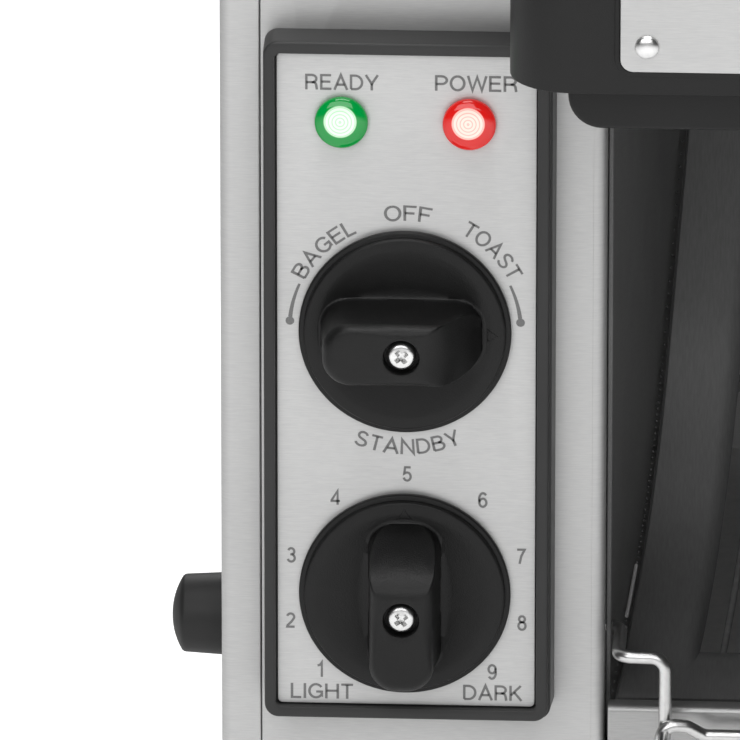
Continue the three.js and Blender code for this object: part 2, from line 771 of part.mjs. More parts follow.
function fanHousing() {
  const [x, z] = fanCentre;
  const size = 30;
  const back = caseDepth - sheet - gap;
  const frame = cut(
    fromFront(roundedRectangle(x - size, z - size, x + size, z + size, 4), back - 22, back),
    rodY(back - 30, back + 2, x, z, 28, 24));
  const strut = block(x - 29, x + 29, back - 3, back, z - 2, z + 2);
  const upright = block(x - 2, x + 2, back - 3, back, z - 29, z + 29);
  return join(frame, strut, upright, rodY(back - 4, back, x, z, 11));
}

function fanRotor() {
  const bladeCount = 7;
  const blades = [];
  for (let k = 0; k < bladeCount; k += 1) {
    const blade = new THREE.BoxGeometry(16.5, 1.4, 13);
    blade.rotateX(Math.PI / 4).translate(18.2, 0, 0);
    blades.push(blade.rotateY(2 * Math.PI * k / bladeCount));
  }
  return join(turned([[0, -7.5], [11, -7.5], [11, 7.5], [0, 7.5]]), ...blades);
}

function cordGland() {
  const back = caseDepth + gap;
  return turned([
    [5, caseDepth - 12], [8.6, caseDepth - 12], [8.6, back], [13, back], [13, back + 5], [9, glandEnd - 2],
    [7.5, glandEnd], [5, glandEnd], [5, caseDepth - 12]
  ]);
}

function makeServices() {
  const [fanX, fanZ] = fanCentre;
  const back = caseDepth - sheet - gap;
  addPart('fan_housing', fanHousing(), finish.plastic);
  addPart('fan_rotor', fanRotor(), finish.plastic, [fanX, back - 13, fanZ]);
  addPart('cord_gland', cordGland(), finish.plastic, [45, 0, 50]);
  addPart('circuit_breaker', cut(block(52, 72, 276, back, 150, 174), rodY(300, 312, 62, 162, 5.6)), finish.plastic);
  addPart('reset_button', turned([[0, 302], [5, 302], [5, 314], [4, 315], [0, 315]]), finish.red, [62, 0, 162]);
}

makeCase();
makeControls();
makeHood();
makeChute();
makeConveyor();
makeServices();

export default toaster;
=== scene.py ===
# Conveyor toaster with a front toast return: looks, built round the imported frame.
import json
import math

import bmesh
import bpy
from mathutils import Matrix, Vector


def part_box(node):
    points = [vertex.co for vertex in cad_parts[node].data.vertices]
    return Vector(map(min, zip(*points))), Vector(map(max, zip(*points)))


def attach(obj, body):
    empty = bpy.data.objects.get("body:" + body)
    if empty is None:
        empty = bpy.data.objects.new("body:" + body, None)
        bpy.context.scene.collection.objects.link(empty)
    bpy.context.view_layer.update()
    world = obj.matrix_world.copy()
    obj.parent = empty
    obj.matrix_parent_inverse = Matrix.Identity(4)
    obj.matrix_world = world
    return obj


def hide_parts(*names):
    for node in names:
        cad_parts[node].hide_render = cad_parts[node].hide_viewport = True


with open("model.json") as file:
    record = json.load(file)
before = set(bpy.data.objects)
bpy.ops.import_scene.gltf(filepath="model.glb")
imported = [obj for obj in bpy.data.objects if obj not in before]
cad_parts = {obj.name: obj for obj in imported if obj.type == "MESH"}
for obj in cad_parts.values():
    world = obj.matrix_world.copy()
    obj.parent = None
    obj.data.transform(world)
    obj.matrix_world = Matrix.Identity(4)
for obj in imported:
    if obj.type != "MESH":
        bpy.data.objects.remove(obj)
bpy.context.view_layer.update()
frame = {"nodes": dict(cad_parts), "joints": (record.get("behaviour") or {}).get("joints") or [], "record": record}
print("frame loaded:", len(frame["nodes"]), "nodes")

mm = 0.001
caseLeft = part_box("left_side_panel")[0].x
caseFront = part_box("front_panel")[0].y


def place(point):
    # millimetres from the case's front left edge, to metres in the frame
    u, w, z = point
    return Vector((caseLeft + u * mm, caseFront + w * mm, z * mm))


def boxOf(node):
    # a CAD node's corners in the same millimetres
    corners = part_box(node)
    return [Vector(((c.x - caseLeft) / mm, (c.y - caseFront) / mm, c.z / mm)) for c in corners]


def centreOf(node):
    low, high = boxOf(node)
    return (low + high) / 2


def nodeBody(node):
    return next(body for body, members in frame["record"]["behaviour"]["bodies"].items() if node in members)


chamberCentre = centreOf("wire_belt").x


def across(u):
    return 2 * chamberCentre - u


# node trees


def linked(name, data):
    made = bpy.data.objects.new(name, data)
    bpy.context.scene.collection.objects.link(made)
    return made


def setInputs(tree, node, inputs):
    # each input is linked to a socket or given its value
    for key, value in inputs.items():
        if isinstance(value, bpy.types.NodeSocket):
            tree.links.new(value, node.inputs[key])
        else:
            node.inputs[key].default_value = value


def addNode(tree, kind, inputs, **settings):
    node = tree.nodes.new(kind)
    for name, value in settings.items():
        setattr(node, name, value)
    setInputs(tree, node, inputs)
    return node


def maths(tree, operation, first, second=0.5):
    return addNode(tree, "ShaderNodeMath", {0: first, 1: second}, operation=operation).outputs[0]


def splitCoords(tree, kind):
    coords = tree.nodes.new("ShaderNodeTexCoord")
    return addNode(tree, "ShaderNodeSeparateXYZ", {0: coords.outputs[kind]}).outputs


def ranged(tree, source, low, high, fromLow=0.3, fromHigh=0.7):
    values = {"Value": source, "From Min": fromLow, "From Max": fromHigh, "To Min": low, "To Max": high}
    return addNode(tree, "ShaderNodeMapRange", values).outputs[0]


def cameraMix(tree, light, seen):
    # light for everything but the camera, which sees a level of its own
    rays = tree.nodes.new("ShaderNodeLightPath")
    values = {0: rays.outputs["Is Camera Ray"], 2: light, 3: seen}
    return addNode(tree, "ShaderNodeMix", values, data_type="FLOAT").outputs[0]


def newMaterial(name):
    material = bpy.data.materials.new(name)
    material.use_nodes = True
    tree = material.node_tree
    return material, tree, tree.nodes["Principled BSDF"]


# camera, light and floor

cameraLook = {"turn": 3.0, "tilt": 20.0, "distance": 3500, "lens": 711.7, "aim": (35.94, 0, 161.58)}


def makeCamera(look):
    camera = linked("camera", bpy.data.cameras.new("camera"))
    turn = math.radians(look["turn"])
    tilt = math.radians(look["tilt"])
    ahead = Vector((-math.sin(turn) * math.cos(tilt), math.cos(turn) * math.cos(tilt), -math.sin(tilt)))
    camera.location = place(look["aim"]) - ahead * look["distance"] * mm
    camera.rotation_euler = (math.pi / 2 - tilt, 0, turn)
    camera.data.lens = look["lens"]
    camera.data.sensor_width = 36
    camera.data.clip_end = 60
    bpy.context.scene.camera = camera


worldLook = {
    "front": (0.22, 0.62, 0.7, -0.9), "side": (1.0, 0.16, 0.25, 0.9), "up": (0.55, 1.25, 0.15, 0.6),
    "seen": 1.0
}


def makeWorld(look):
    world = bpy.data.worlds.new("studio")
    bpy.context.scene.world = world
    world.use_nodes = True
    tree = world.node_tree
    spread = splitCoords(tree, "Generated")
    front = ranged(tree, spread["Y"], *look["front"])
    side = ranged(tree, maths(tree, "ABSOLUTE", spread["X"]), *look["side"])
    up = ranged(tree, spread["Z"], *look["up"])
    light = maths(tree, "MULTIPLY", maths(tree, "MULTIPLY", front, side), up)
    setInputs(tree, tree.nodes["Background"], {"Strength": cameraMix(tree, light, look["seen"])})


lampLooks = {
    "highFront": {"where": (-0.4, -2.5, 1.7), "size": (3.0, 1.6), "watts": 40},
    "overhead": {"where": (0.0, -0.6, 2.6), "size": (2.0, 1.4), "watts": 42},
    "rear": {"where": (-0.6, 2.6, 1.9), "size": (2.0, 1.4), "watts": 34},
    "leftFill": {"where": (-2.8, 0.9, 1.3), "size": (1.2, 1.2), "watts": 4},
    "rightFill": {"where": (2.8, 0.6, 1.3), "size": (1.2, 1.2), "watts": 9}
}
lampAim = (0, 0, 0.2)


def makeLight(name, look):
    data = bpy.data.lights.new(name, "AREA")
    data.shape = "RECTANGLE"
    data.size, data.size_y = look["size"]
    data.energy = look["watts"]
    lamp = linked(name, data)
    lamp.location = look["where"]
    lamp.rotation_euler = (Vector(lampAim) - Vector(look["where"])).to_track_quat("-Z", "Y").to_euler()


floorLook = {
    "size": 14.0, "base": 0.6, "rough": 0.9, "specular": 0.1,
    "depth": (0.34, 0.9, 0.1, -0.8), "width": (1.0, 0.2, 0.4, 1.1), "seen": 0.84
}


def makeFloor(look):
    size = look["size"]
    mesh = bpy.data.meshes.new("floor")
    corners = [(-size, -size, 0), (size, -size, 0), (size, size, 0), (-size, size, 0)]
    mesh.from_pydata(corners, [], [(0, 1, 2, 3)])
    floor = linked("floor", mesh)
    material, tree, surface = newMaterial("paleFloor")
    spread = splitCoords(tree, "Object")
    depth = ranged(tree, spread["Y"], *look["depth"])
    width = ranged(tree, maths(tree, "ABSOLUTE", spread["X"]), *look["width"])
    glow = cameraMix(tree, maths(tree, "MULTIPLY", depth, width), look["seen"])
    setInputs(tree, surface, {
        "Base Color": (*[look["base"]] * 3, 1), "Roughness": look["rough"],
        "Specular IOR Level": look["specular"],
        "Emission Color": (1, 1, 1, 1), "Emission Strength": glow
    })
    mesh.materials.append(material)


makeCamera(cameraLook)
makeWorld(worldLook)
for name, look in lampLooks.items():
    makeLight(name, look)
makeFloor(floorLook)
bpy.context.scene.view_settings.view_transform = "Standard"
print("camera, light and floor made")

# shared shader groups


# each noise: its own lines per metre, detail, roughness and the name of what it gives
groupLooks = {
    "brushedGrain": {"Lines": ((150, 150, 2600), 3.0, 0.65, "Grain"),
                     "Clouds": ((9, 9, 9), 2.0, 0.6, "Cloud")},
    "mouldTexture": {
        "Pebbles": ((2600, 2600, 2600), 2.0, 0.6, "Pebble"), "Handling": ((40, 40, 40), 3.0, 0.6, "Smudge")}
}


def noiseGroup(name, look):
    # noises on object coordinates, each squeezed by a vector of lines per metre
    group = bpy.data.node_groups.new(name, "ShaderNodeTree")
    for label, (lines, _, _, _) in look.items():
        socket = group.interface.new_socket(label, in_out="INPUT", socket_type="NodeSocketVector")
        socket.default_value = lines
    for _, _, _, result in look.values():
        group.interface.new_socket(result, in_out="OUTPUT", socket_type="NodeSocketFloat")
    start = group.nodes.new("NodeGroupInput")
    end = group.nodes.new("NodeGroupOutput")
    for label, (_, detail, roughness, result) in look.items():
        coords = group.nodes.new("ShaderNodeTexCoord")
        pair = {0: coords.outputs["Object"], 1: start.outputs[label]}
        stretch = addNode(group, "ShaderNodeVectorMath", pair, operation="MULTIPLY")
        values = {"Vector": stretch.outputs[0], "Scale": 1.0, "Detail": detail, "Roughness": roughness}
        setInputs(group, end, {result: addNode(group, "ShaderNodeTexNoise", values).outputs["Fac"]})
    return group


shaderGroups = {name: noiseGroup(name, look) for name, look in groupLooks.items()}


def useGroup(tree, name, values):
    return addNode(tree, "ShaderNodeGroup", values, node_tree=shaderGroups[name]).outputs


def tinted(tree, source, dark, light):
    values = {0: ranged(tree, source, 0, 1), 6: (*dark, 1), 7: (*light, 1)}
    return addNode(tree, "ShaderNodeMix", values, data_type="RGBA").outputs[2]


def bumped(tree, height, depth):
    return addNode(tree, "ShaderNodeBump", {"Height": height, "Distance": depth, "Strength": 1.0}).outputs[0]


# lines gives the grain's lines per metre along x, y and z: low along the brushing, high across it
metalLooks = {
    "brushedFront": {
        "lines": (240, 240, 3600), "dark": 0.52, "light": 0.585, "rough": (0.42, 0.5), "depth": 1e-6,
        "metallic": 0.5},
    "brushedFlat": {
        "lines": (240, 3600, 240), "dark": 0.52, "light": 0.585, "rough": (0.42, 0.5), "depth": 1e-6,
        "metallic": 0.5},
    "brushedPlate": {
        "lines": (260, 260, 4000), "dark": 0.56, "light": 0.63, "rough": (0.46, 0.54), "depth": 1e-6,
        "metallic": 0.42},
    "lipSteel": {"lines": (240, 240, 3600), "dark": 0.36, "light": 0.43, "rough": (0.3, 0.38), "depth": 1e-6,
                 "metallic": 0.7},
    "innerSteel": {"lines": (90, 1500, 1500), "dark": 0.32, "light": 0.42, "rough": (0.42, 0.55),
                   "depth": 8e-6},
    "chromeWire": {"lines": (500, 500, 500), "dark": 0.64, "light": 0.74, "rough": (0.24, 0.34),
                   "depth": 8e-6},
    "screwSteel": {"lines": (900, 900, 900), "dark": 0.70, "light": 0.80, "rough": (0.24, 0.34),
                   "depth": 8e-6},
    "castMetal": {"lines": (900, 900, 900), "dark": 0.12, "light": 0.20, "rough": (0.5, 0.65), "depth": 9e-5},
    "heaterSheath": {"lines": (300, 1200, 1200), "dark": 0.06, "light": 0.15, "rough": (0.5, 0.65),
                     "depth": 3e-5}
}


def metalMaterial(name, look):
    material, tree, surface = newMaterial(name)
    grain = useGroup(tree, "brushedGrain", {"Lines": look["lines"]})
    setInputs(tree, surface, {
        "Base Color": tinted(tree, grain["Grain"], [look["dark"]] * 3,
                             [look["light"] * s for s in (1, 1, 0.99)]),
        "Metallic": look.get("metallic", 1.0), "Roughness": ranged(tree, grain["Cloud"], *look["rough"]),
        "Normal": bumped(tree, grain["Grain"], look["depth"])
    })
    return material


plasticLooks = {
    "knobPlastic": {"pebbles": 3000, "dark": 0.005, "light": 0.009, "rough": (0.34, 0.42), "gloss": 0.28,
                    "depth": 8e-5},
    "bezelPlastic": {"pebbles": 3000, "dark": 0.026, "light": 0.034, "rough": (0.38, 0.46), "gloss": 0.34,
                     "depth": 1.2e-5},
    "powderCoat": {"pebbles": 2400, "dark": 0.006, "light": 0.009, "rough": (0.42, 0.5), "gloss": 0.3,
                   "depth": 5e-5},
    "rubber": {"pebbles": 1800, "dark": 0.010, "light": 0.015, "rough": (0.5, 0.62), "gloss": 0.4,
               "depth": 1.2e-5},
    "innerPlastic": {"pebbles": 2500, "dark": 0.02, "light": 0.03, "rough": (0.45, 0.55), "gloss": 0.4,
                     "depth": 1e-5},
    "ceramic": {"pebbles": 1200, "dark": 0.62, "light": 0.7, "rough": (0.4, 0.5), "gloss": 0.5,
                "depth": 1e-5},
    "redPlastic": {"pebbles": 2500, "dark": 0.42, "light": 0.5, "rough": (0.3, 0.4), "gloss": 0.5,
                   "depth": 5e-6},
}


def plasticMaterial(name, look, tint=(1, 1, 1)):
    material, tree, surface = newMaterial(name)
    mould = useGroup(tree, "mouldTexture", {"Pebbles": (look["pebbles"],) * 3})
    dark, light = [look["dark"] * t for t in tint], [look["light"] * t for t in tint]
    setInputs(tree, surface, {
        "Base Color": tinted(tree, mould["Smudge"], dark, light), "Specular IOR Level": look["gloss"],
        "Roughness": ranged(tree, mould["Smudge"], *look["rough"]),
        "Normal": bumped(tree, mould["Pebble"], look["depth"])
    })
    return material


# dark and light are set above a dark coat's colour, as painted light for the shaded chute; foot is the share of
# colour the painted shade leaves at the foot
chuteLooks = {
    "chuteSide": {"lines": (2200, 220, 2200), "dark": 0.16, "light": 0.20, "foot": 0.9},
    "slideCoat": {"lines": (2200, 260, 260), "dark": 0.23, "light": 0.28, "foot": 0.45},
    "coatedWire": {"lines": (400, 400, 400), "dark": 0.11, "light": 0.16, "foot": 1}
}


chuteCoat = {
    "clouds": (25, 25, 25), "paintedShadeHeights": (0.08, 0.17), "rough": (0.42, 0.56), "depth": 8e-6, "metallic": 0.35,
    "gloss": 0.4
}


def chuteMaterial(name, look):
    # rolled sheet under a thin dark heat-proof coat; its colour is set lighter than the coat's, as painted light
    # for the shaded chute, and darker towards its foot, as painted shade
    material, tree, surface = newMaterial(name)
    grain = useGroup(tree, "brushedGrain", {"Lines": look["lines"], "Clouds": chuteCoat["clouds"]})
    base = tinted(tree, grain["Grain"], [look["dark"]] * 3, [look["light"]] * 3)
    # painted shade: the colour darkens towards the foot of the chute
    paintedShade = ranged(tree, splitCoords(tree, "Object")["Z"], look["foot"], 1, *chuteCoat["paintedShadeHeights"])
    shadedBase = addNode(tree, "ShaderNodeMix", {0: 1, 6: base, 7: paintedShade}, data_type="RGBA", blend_type="MULTIPLY")
    setInputs(tree, surface, {
        "Base Color": shadedBase.outputs[2], "Roughness": ranged(tree, grain["Cloud"], *chuteCoat["rough"]),
        "Normal": bumped(tree, grain["Grain"], chuteCoat["depth"]), "Metallic": chuteCoat["metallic"],
        "Specular IOR Level": chuteCoat["gloss"]
    })
    return material


lensLooks = {
    "ready_lamp": {"tint": (0.0, 0.25, 0.04), "glow": (0.93, 1.0, 0.90)},
    "power_lamp": {"tint": (0.62, 0.012, 0.010), "glow": (1.0, 0.86, 0.76)}
}
lensSize = {"glow": 3.85, "edge": 0.18, "ring": 0.84, "ringDepth": 0.42, "shift": 0.2, "lift": 0.7,
            "dim": 0.3}


def lensMaterial(name, look):
    # coloured dome with a lit core crossed by fine moulded rings
    material, tree, surface = newMaterial(name + "Lens")
    size = lensSize
    centre = place(centreOf(name))
    coords = tree.nodes.new("ShaderNodeTexCoord")
    start = (-centre.x + size["shift"] * mm, 0, -centre.z - size["lift"] * mm)
    values = {"Vector": coords.outputs["Object"], "Location": start, "Scale": (1, 0, 1)}
    spot = addNode(tree, "ShaderNodeMapping", values).outputs[0]
    reach = addNode(tree, "ShaderNodeVectorMath", {0: spot}, operation="LENGTH").outputs["Value"]
    core = ranged(tree, reach, 1, 0, (size["glow"] - size["edge"]) * mm, (size["glow"] + size["edge"]) * mm)
    wave = maths(tree, "SINE", maths(tree, "MULTIPLY", reach, 2 * math.pi / (size["ring"] * mm)))
    rings = ranged(tree, wave, 1, 1 - size["ringDepth"], 0.35, 0.95)
    dim = [c * size["dim"] for c in look["tint"]]
    values = {0: maths(tree, "MULTIPLY", core, rings), 6: (*dim, 1), 7: (*look["glow"], 1)}
    setInputs(tree, surface, {
        "Base Color": (*look["tint"], 1), "Roughness": 0.08, "Coat Weight": 0.25, "Coat Roughness": 0.04,
        "Emission Color": addNode(tree, "ShaderNodeMix", values, data_type="RGBA").outputs[2],
        "Emission Strength": 1.0
    })
    return material


def legendMaterial():
    material, tree, surface = newMaterial("legendInk")
    mould = useGroup(tree, "mouldTexture", {"Pebbles": (3500, 3500, 3500)})
    ink = tinted(tree, mould["Pebble"], (0.17,) * 3, (0.23,) * 3)
    setInputs(tree, surface, {"Base Color": ink, "Roughness": 0.6, "Specular IOR Level": 0.2})
    return material


finishes = {name: metalMaterial(name, look) for name, look in metalLooks.items()}
redPlastic = plasticLooks.pop("redPlastic")
finishes.update({name: plasticMaterial(name, look) for name, look in plasticLooks.items()})
finishes["redPlastic"] = plasticMaterial("redPlastic", redPlastic, (1, 0.06, 0.05))
finishes["bronze"] = plasticMaterial("bronze", redPlastic, (0.9, 0.58, 0.28))
finishes.update({name: chuteMaterial(name, look) for name, look in chuteLooks.items()})
finishes.update({name: lensMaterial(name, look) for name, look in lensLooks.items()})
finishes["legendInk"] = legendMaterial()
print("materials made:", len(finishes))

# mesh tools


def cleanMesh(mesh, sharpAngle):
    work = bmesh.new()
    work.from_mesh(mesh)
    bmesh.ops.remove_doubles(work, verts=work.verts, dist=1e-6)
    bmesh.ops.recalc_face_normals(work, faces=work.faces)
    work.to_mesh(mesh)
    work.free()
    mesh.shade_smooth()
    mesh.set_sharp_from_angle(angle=math.radians(sharpAngle))


def addObject(name, mesh, finish):
    mesh.materials.clear()
    mesh.materials.append(finishes[finish])
    return linked(name, mesh)


def finishOf(piece):
    return next(key for key, value in finishes.items() if value == piece.data.materials[0])


def evaluatedMesh(piece):
    bpy.context.view_layer.update()
    return bpy.data.meshes.new_from_object(piece.evaluated_get(bpy.context.evaluated_depsgraph_get()))


def gridFaces(rows, count, closed=False):
    # quads between rows of count points, each row closed into a ring or left open
    faces = []
    for k in range(rows - 1):
        for i in range(count if closed else count - 1):
            j = (i + 1) % count
            faces.append((k * count + i, k * count + j, (k + 1) * count + j, (k + 1) * count + i))
    return faces


def quarterTurn(steps, first=0):
    # cosine and sine at equal steps of a quarter turn
    angles = [math.pi / 2 * k / steps for k in range(first, steps + 1)]
    return [(math.cos(a), math.sin(a)) for a in angles]


def newPiece(name, verts, faces, finish, sharpAngle=35):
    mesh = bpy.data.meshes.new(name)
    mesh.from_pydata([place(v) for v in verts], [], faces)
    cleanMesh(mesh, sharpAngle)
    return addObject(name, mesh, finish)


def settle(piece, sharpAngle=35):
    # turns live modifiers or a curve into a plain mesh
    mesh = evaluatedMesh(piece)
    name, finish = piece.name, finishOf(piece)
    bpy.data.objects.remove(piece)
    mesh.name = name
    cleanMesh(mesh, sharpAngle)
    return addObject(name, mesh, finish)


def finished(piece, *nodes, body=None):
    # the piece rides on its node's body and stands for the nodes
    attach(piece, body or nodeBody(nodes[0]))
    if nodes:
        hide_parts(*nodes)
    return piece


def joined(name, pieces):
    # several meshes of one finish as one piece
    work = bmesh.new()
    for piece in pieces:
        work.from_mesh(piece.data)
    mesh = bpy.data.meshes.new(name)
    work.to_mesh(mesh)
    work.free()
    finish = finishOf(pieces[0])
    for piece in pieces:
        bpy.data.objects.remove(piece)
    mesh.shade_smooth()
    mesh.set_sharp_from_angle(angle=math.radians(35))
    return addObject(name, mesh, finish)


def withBevel(piece, width, segments=2, limit=32):
    bevel = piece.modifiers.new("softEdge", "BEVEL")
    bevel.width = width * mm
    bevel.segments = segments
    bevel.limit_method = "ANGLE"
    bevel.angle_limit = math.radians(limit)
    bevel.use_clamp_overlap = True
    return settle(piece)


def withHoles(piece, cutters):
    for cutter in cutters:
        cut = piece.modifiers.new("opening", "BOOLEAN")
        cut.operation = "DIFFERENCE"
        cut.solver = "EXACT"
        cut.object = cutter
    result = settle(piece)
    for cutter in cutters:
        bpy.data.objects.remove(cutter)
    return result


def thickened(piece, wall, offset, sharpAngle=40):
    shell = piece.modifiers.new("wall", "SOLIDIFY")
    shell.thickness = wall * mm
    shell.offset = offset
    return settle(piece, sharpAngle)


def loft(rings, closed=True):
    # rings of equal length joined into a skin, its ends capped
    count = len(rings[0])
    verts = [point for ring in rings for point in ring]
    faces = gridFaces(len(rings), count, True)
    if closed:
        faces.append(tuple(range(count)))
        faces.append(tuple(range((len(rings) - 1) * count, len(rings) * count)))
    return verts, faces


planes = {
    "plan": lambda a, b, c: (a, b, c),      # outline in u, w; runs up z
    "front": lambda a, b, c: (a, c, b),     # outline in u, z; runs back w
    "side": lambda a, b, c: (c, a, b)       # outline in w, z; runs across u
}


def prism(name, outline, plane, start, end, finish):
    rings = [[planes[plane](a, b, c) for a, b in outline] for c in (start, end)]
    return newPiece(name, *loft(rings), finish)


def arcPoints(centreA, centreB, radius, start, end, steps):
    angles = [math.radians(start + (end - start) * k / steps) for k in range(steps + 1)]
    return [(centreA + radius * math.cos(a), centreB + radius * math.sin(a)) for a in angles]


def roundedBox(a0, b0, a1, b1, radius, steps=6):
    return (arcPoints(a1 - radius, b0 + radius, radius, -90, 0, steps)
            + arcPoints(a1 - radius, b1 - radius, radius, 0, 90, steps)
            + arcPoints(a0 + radius, b1 - radius, radius, 90, 180, steps)
            + arcPoints(a0 + radius, b0 + radius, radius, 180, 270, steps))


def roundCorners(corners, radius, steps=6):
    corners = [Vector(c) for c in corners]
    points = [corners[0]]
    for before, corner, after in zip(corners, corners[1:], corners[2:]):
        into = (corner - before).normalized()
        out = (after - corner).normalized()
        turn = into.angle(out)
        if turn < 1e-3:
            points.append(corner)
            continue
        setback = radius * math.tan(turn / 2)
        centre = corner + (out - into).normalized() * (radius / math.cos(turn / 2))
        armStart = corner - into * setback - centre
        armEnd = corner + out * setback - centre
        for k in range(steps + 1):
            angle = turn * k / steps
            arm = (armStart * math.sin(turn - angle) + armEnd * math.sin(angle)) / math.sin(turn)
            points.append(centre + arm)
    return points + [corners[-1]]


def sheetOutline(corners, thickness, bend, steps=6):
    # both sides of a sheet folded along a centre line
    line = roundCorners([(a, b, 0) for a, b in corners], bend, steps)
    left, right = [], []
    for i, point in enumerate(line):
        into = (point - line[max(i - 1, 0)]).normalized()
        out = (line[min(i + 1, len(line) - 1)] - point).normalized()
        along = (into + out).normalized()
        fit = max(into.dot(along), out.dot(along))
        reach = thickness / 2 / fit
        left.append((point.x - along.y * reach, point.y + along.x * reach))
        right.append((point.x + along.y * reach, point.y - along.x * reach))
    return left + right[::-1]


def plate(name, outline, holes, plane, start, end, finish, edge=0.0):
    # a flat plate with openings, its rims rounded by edge
    curve = bpy.data.curves.new(name, "CURVE")
    curve.dimensions = "2D"
    curve.fill_mode = "BOTH"
    curve.extrude = (end - start) / 2 - edge
    curve.bevel_depth = edge
    curve.bevel_resolution = 2
    curve.offset = -edge
    for loop in [outline, *holes]:
        spline = curve.splines.new("POLY")
        spline.points.add(len(loop) - 1)
        spline.use_cyclic_u = True
        for point, (a, b) in zip(spline.points, loop):
            point.co = (a, b, 0, 1)
    drawing = linked(name, curve)
    mesh = evaluatedMesh(drawing)
    bpy.data.objects.remove(drawing)
    middle = (start + end) / 2
    for vertex in mesh.vertices:
        vertex.co = place(planes[plane](vertex.co.x, vertex.co.y, middle + vertex.co.z))
    cleanMesh(mesh, 35)
    return addObject(name, mesh, finish)


axes = {
    "x": lambda r, a, h: (h, r * math.cos(a), r * math.sin(a)),
    "y": lambda r, a, h: (r * math.cos(a), h, r * math.sin(a)),
    "z": lambda r, a, h: (r * math.cos(a), r * math.sin(a), h)
}


def turnedMesh(profile, axis, centre, segments=64):
    # a lathe: profile pairs are (radius, distance along the axis)
    rings = []
    for radius, height in profile:
        ring = []
        for k in range(segments):
            step = axes[axis](max(radius, 1e-4), 2 * math.pi * k / segments, height)
            ring.append(tuple(c + s for c, s in zip(centre, step)))
        rings.append(ring)
    return loft(rings)


def turned(name, profile, axis, centre, finish, segments=64, sharpAngle=35):
    verts, faces = turnedMesh(profile, axis, centre, segments)
    return newPiece(name, verts, faces, finish, sharpAngle)


def refined(node, edge, finish, segments=2):
    # the CAD node's own shape with its facets merged and its edges softened
    mesh = frame["nodes"][node].data.copy()
    work = bmesh.new()
    work.from_mesh(mesh)
    bmesh.ops.remove_doubles(work, verts=work.verts, dist=1e-6)
    bmesh.ops.dissolve_limit(work, angle_limit=math.radians(0.5), verts=work.verts, edges=work.edges)
    work.to_mesh(mesh)
    work.free()
    piece = addObject(node + "_fine", mesh, finish)
    piece = withBevel(piece, edge, segments)
    even = piece.modifiers.new("evenShading", "WEIGHTED_NORMAL")
    even.weight = 100
    even.keep_sharp = True
    return finished(piece, node)


# geometry node trees


def newTree(name, inputs):
    tree = bpy.data.node_groups.new(name, "GeometryNodeTree")
    for label, kind in {"Geometry": "Geometry", **inputs, "Material": "Material"}.items():
        tree.interface.new_socket(label, in_out="INPUT", socket_type="NodeSocket" + kind)
    tree.interface.new_socket("Geometry", in_out="OUTPUT", socket_type="NodeSocketGeometry")
    return tree, tree.nodes.new("NodeGroupInput").outputs


def endTree(tree, start, geometry):
    solid = addNode(tree, "GeometryNodeRealizeInstances", {0: geometry}).outputs[0]
    values = {"Geometry": solid, "Material": start["Material"]}
    coated = addNode(tree, "GeometryNodeSetMaterial", values).outputs[0]
    addNode(tree, "NodeGroupOutput", {0: coated})
    return tree


def wireTree():
    # round wire along every spline
    tree, start = newTree("roundWire", {"Radius": "Float", "Sides": "Int"})
    values = {"Radius": start["Radius"], "Resolution": start["Sides"]}
    section = addNode(tree, "GeometryNodeCurvePrimitiveCircle", values).outputs["Curve"]
    values = {"Curve": start["Geometry"], "Profile Curve": section, "Fill Caps": True}
    return endTree(tree, start, addNode(tree, "GeometryNodeCurveToMesh", values).outputs[0])


def scatterTree():
    # one copy of a fitting on every point
    tree, start = newTree("fittings", {"Fitting": "Object", "Turn": "Vector", "Size": "Float"})
    points = addNode(tree, "GeometryNodeMeshToPoints", {"Mesh": start["Geometry"]}).outputs[0]
    fitting = addNode(tree, "GeometryNodeObjectInfo", {"Object": start["Fitting"]}).outputs["Geometry"]
    values = {"Points": points, "Instance": fitting, "Rotation": start["Turn"], "Scale": start["Size"]}
    return endTree(tree, start, addNode(tree, "GeometryNodeInstanceOnPoints", values).outputs[0])


def beltTree():
    # bent strands set side by side round a loop
    tree, start = newTree("strandBelt", {"Strand": "Object", "Count": "Int"})
    values = {"Curve": start["Geometry"], "Count": start["Count"]}
    stations = addNode(tree, "GeometryNodeResampleCurve", values).outputs[0]
    strand = addNode(tree, "GeometryNodeObjectInfo", {"Object": start["Strand"]}).outputs["Geometry"]
    tangent = tree.nodes.new("GeometryNodeInputTangent").outputs[0]
    along = addNode(tree, "FunctionNodeAlignRotationToVector", {"Vector": tangent}, axis="Y", pivot_axis="X")
    values = {"Points": stations, "Instance": strand, "Rotation": along.outputs[0]}
    return endTree(tree, start, addNode(tree, "GeometryNodeInstanceOnPoints", values).outputs[0])


trees = {"wire": wireTree(), "scatter": scatterTree(), "belt": beltTree()}


def runTree(piece, tree, values, finish, sharpAngle=40):
    modifier = piece.modifiers.new(tree.name, "NODES")
    modifier.node_group = tree
    for item in tree.interface.items_tree:
        if item.in_out == "INPUT" and item.name in values:
            modifier[item.identifier] = values[item.name]
        if item.in_out == "INPUT" and item.name == "Material":
            modifier[item.identifier] = finishes[finish]
    mesh = evaluatedMesh(piece)
    name = piece.name
    bpy.data.objects.remove(piece)
    mesh.name = name
    cleanMesh(mesh, sharpAngle)
    return addObject(name, mesh, finish)


def curveObject(name, paths, cyclic=False):
    curve = bpy.data.curves.new(name, "CURVE")
    curve.dimensions = "3D"
    for path in paths:
        spline = curve.splines.new("POLY")
        spline.points.add(len(path) - 1)
        spline.use_cyclic_u = cyclic
        for point, spot in zip(spline.points, path):
            point.co = (*place(spot), 1)
    return linked(name, curve)


def wires(name, paths, radius, finish, sides=16, cyclic=False):
    return runTree(curveObject(name, paths, cyclic), trees["wire"], {"Radius": radius * mm, "Sides": sides},
                   finish)


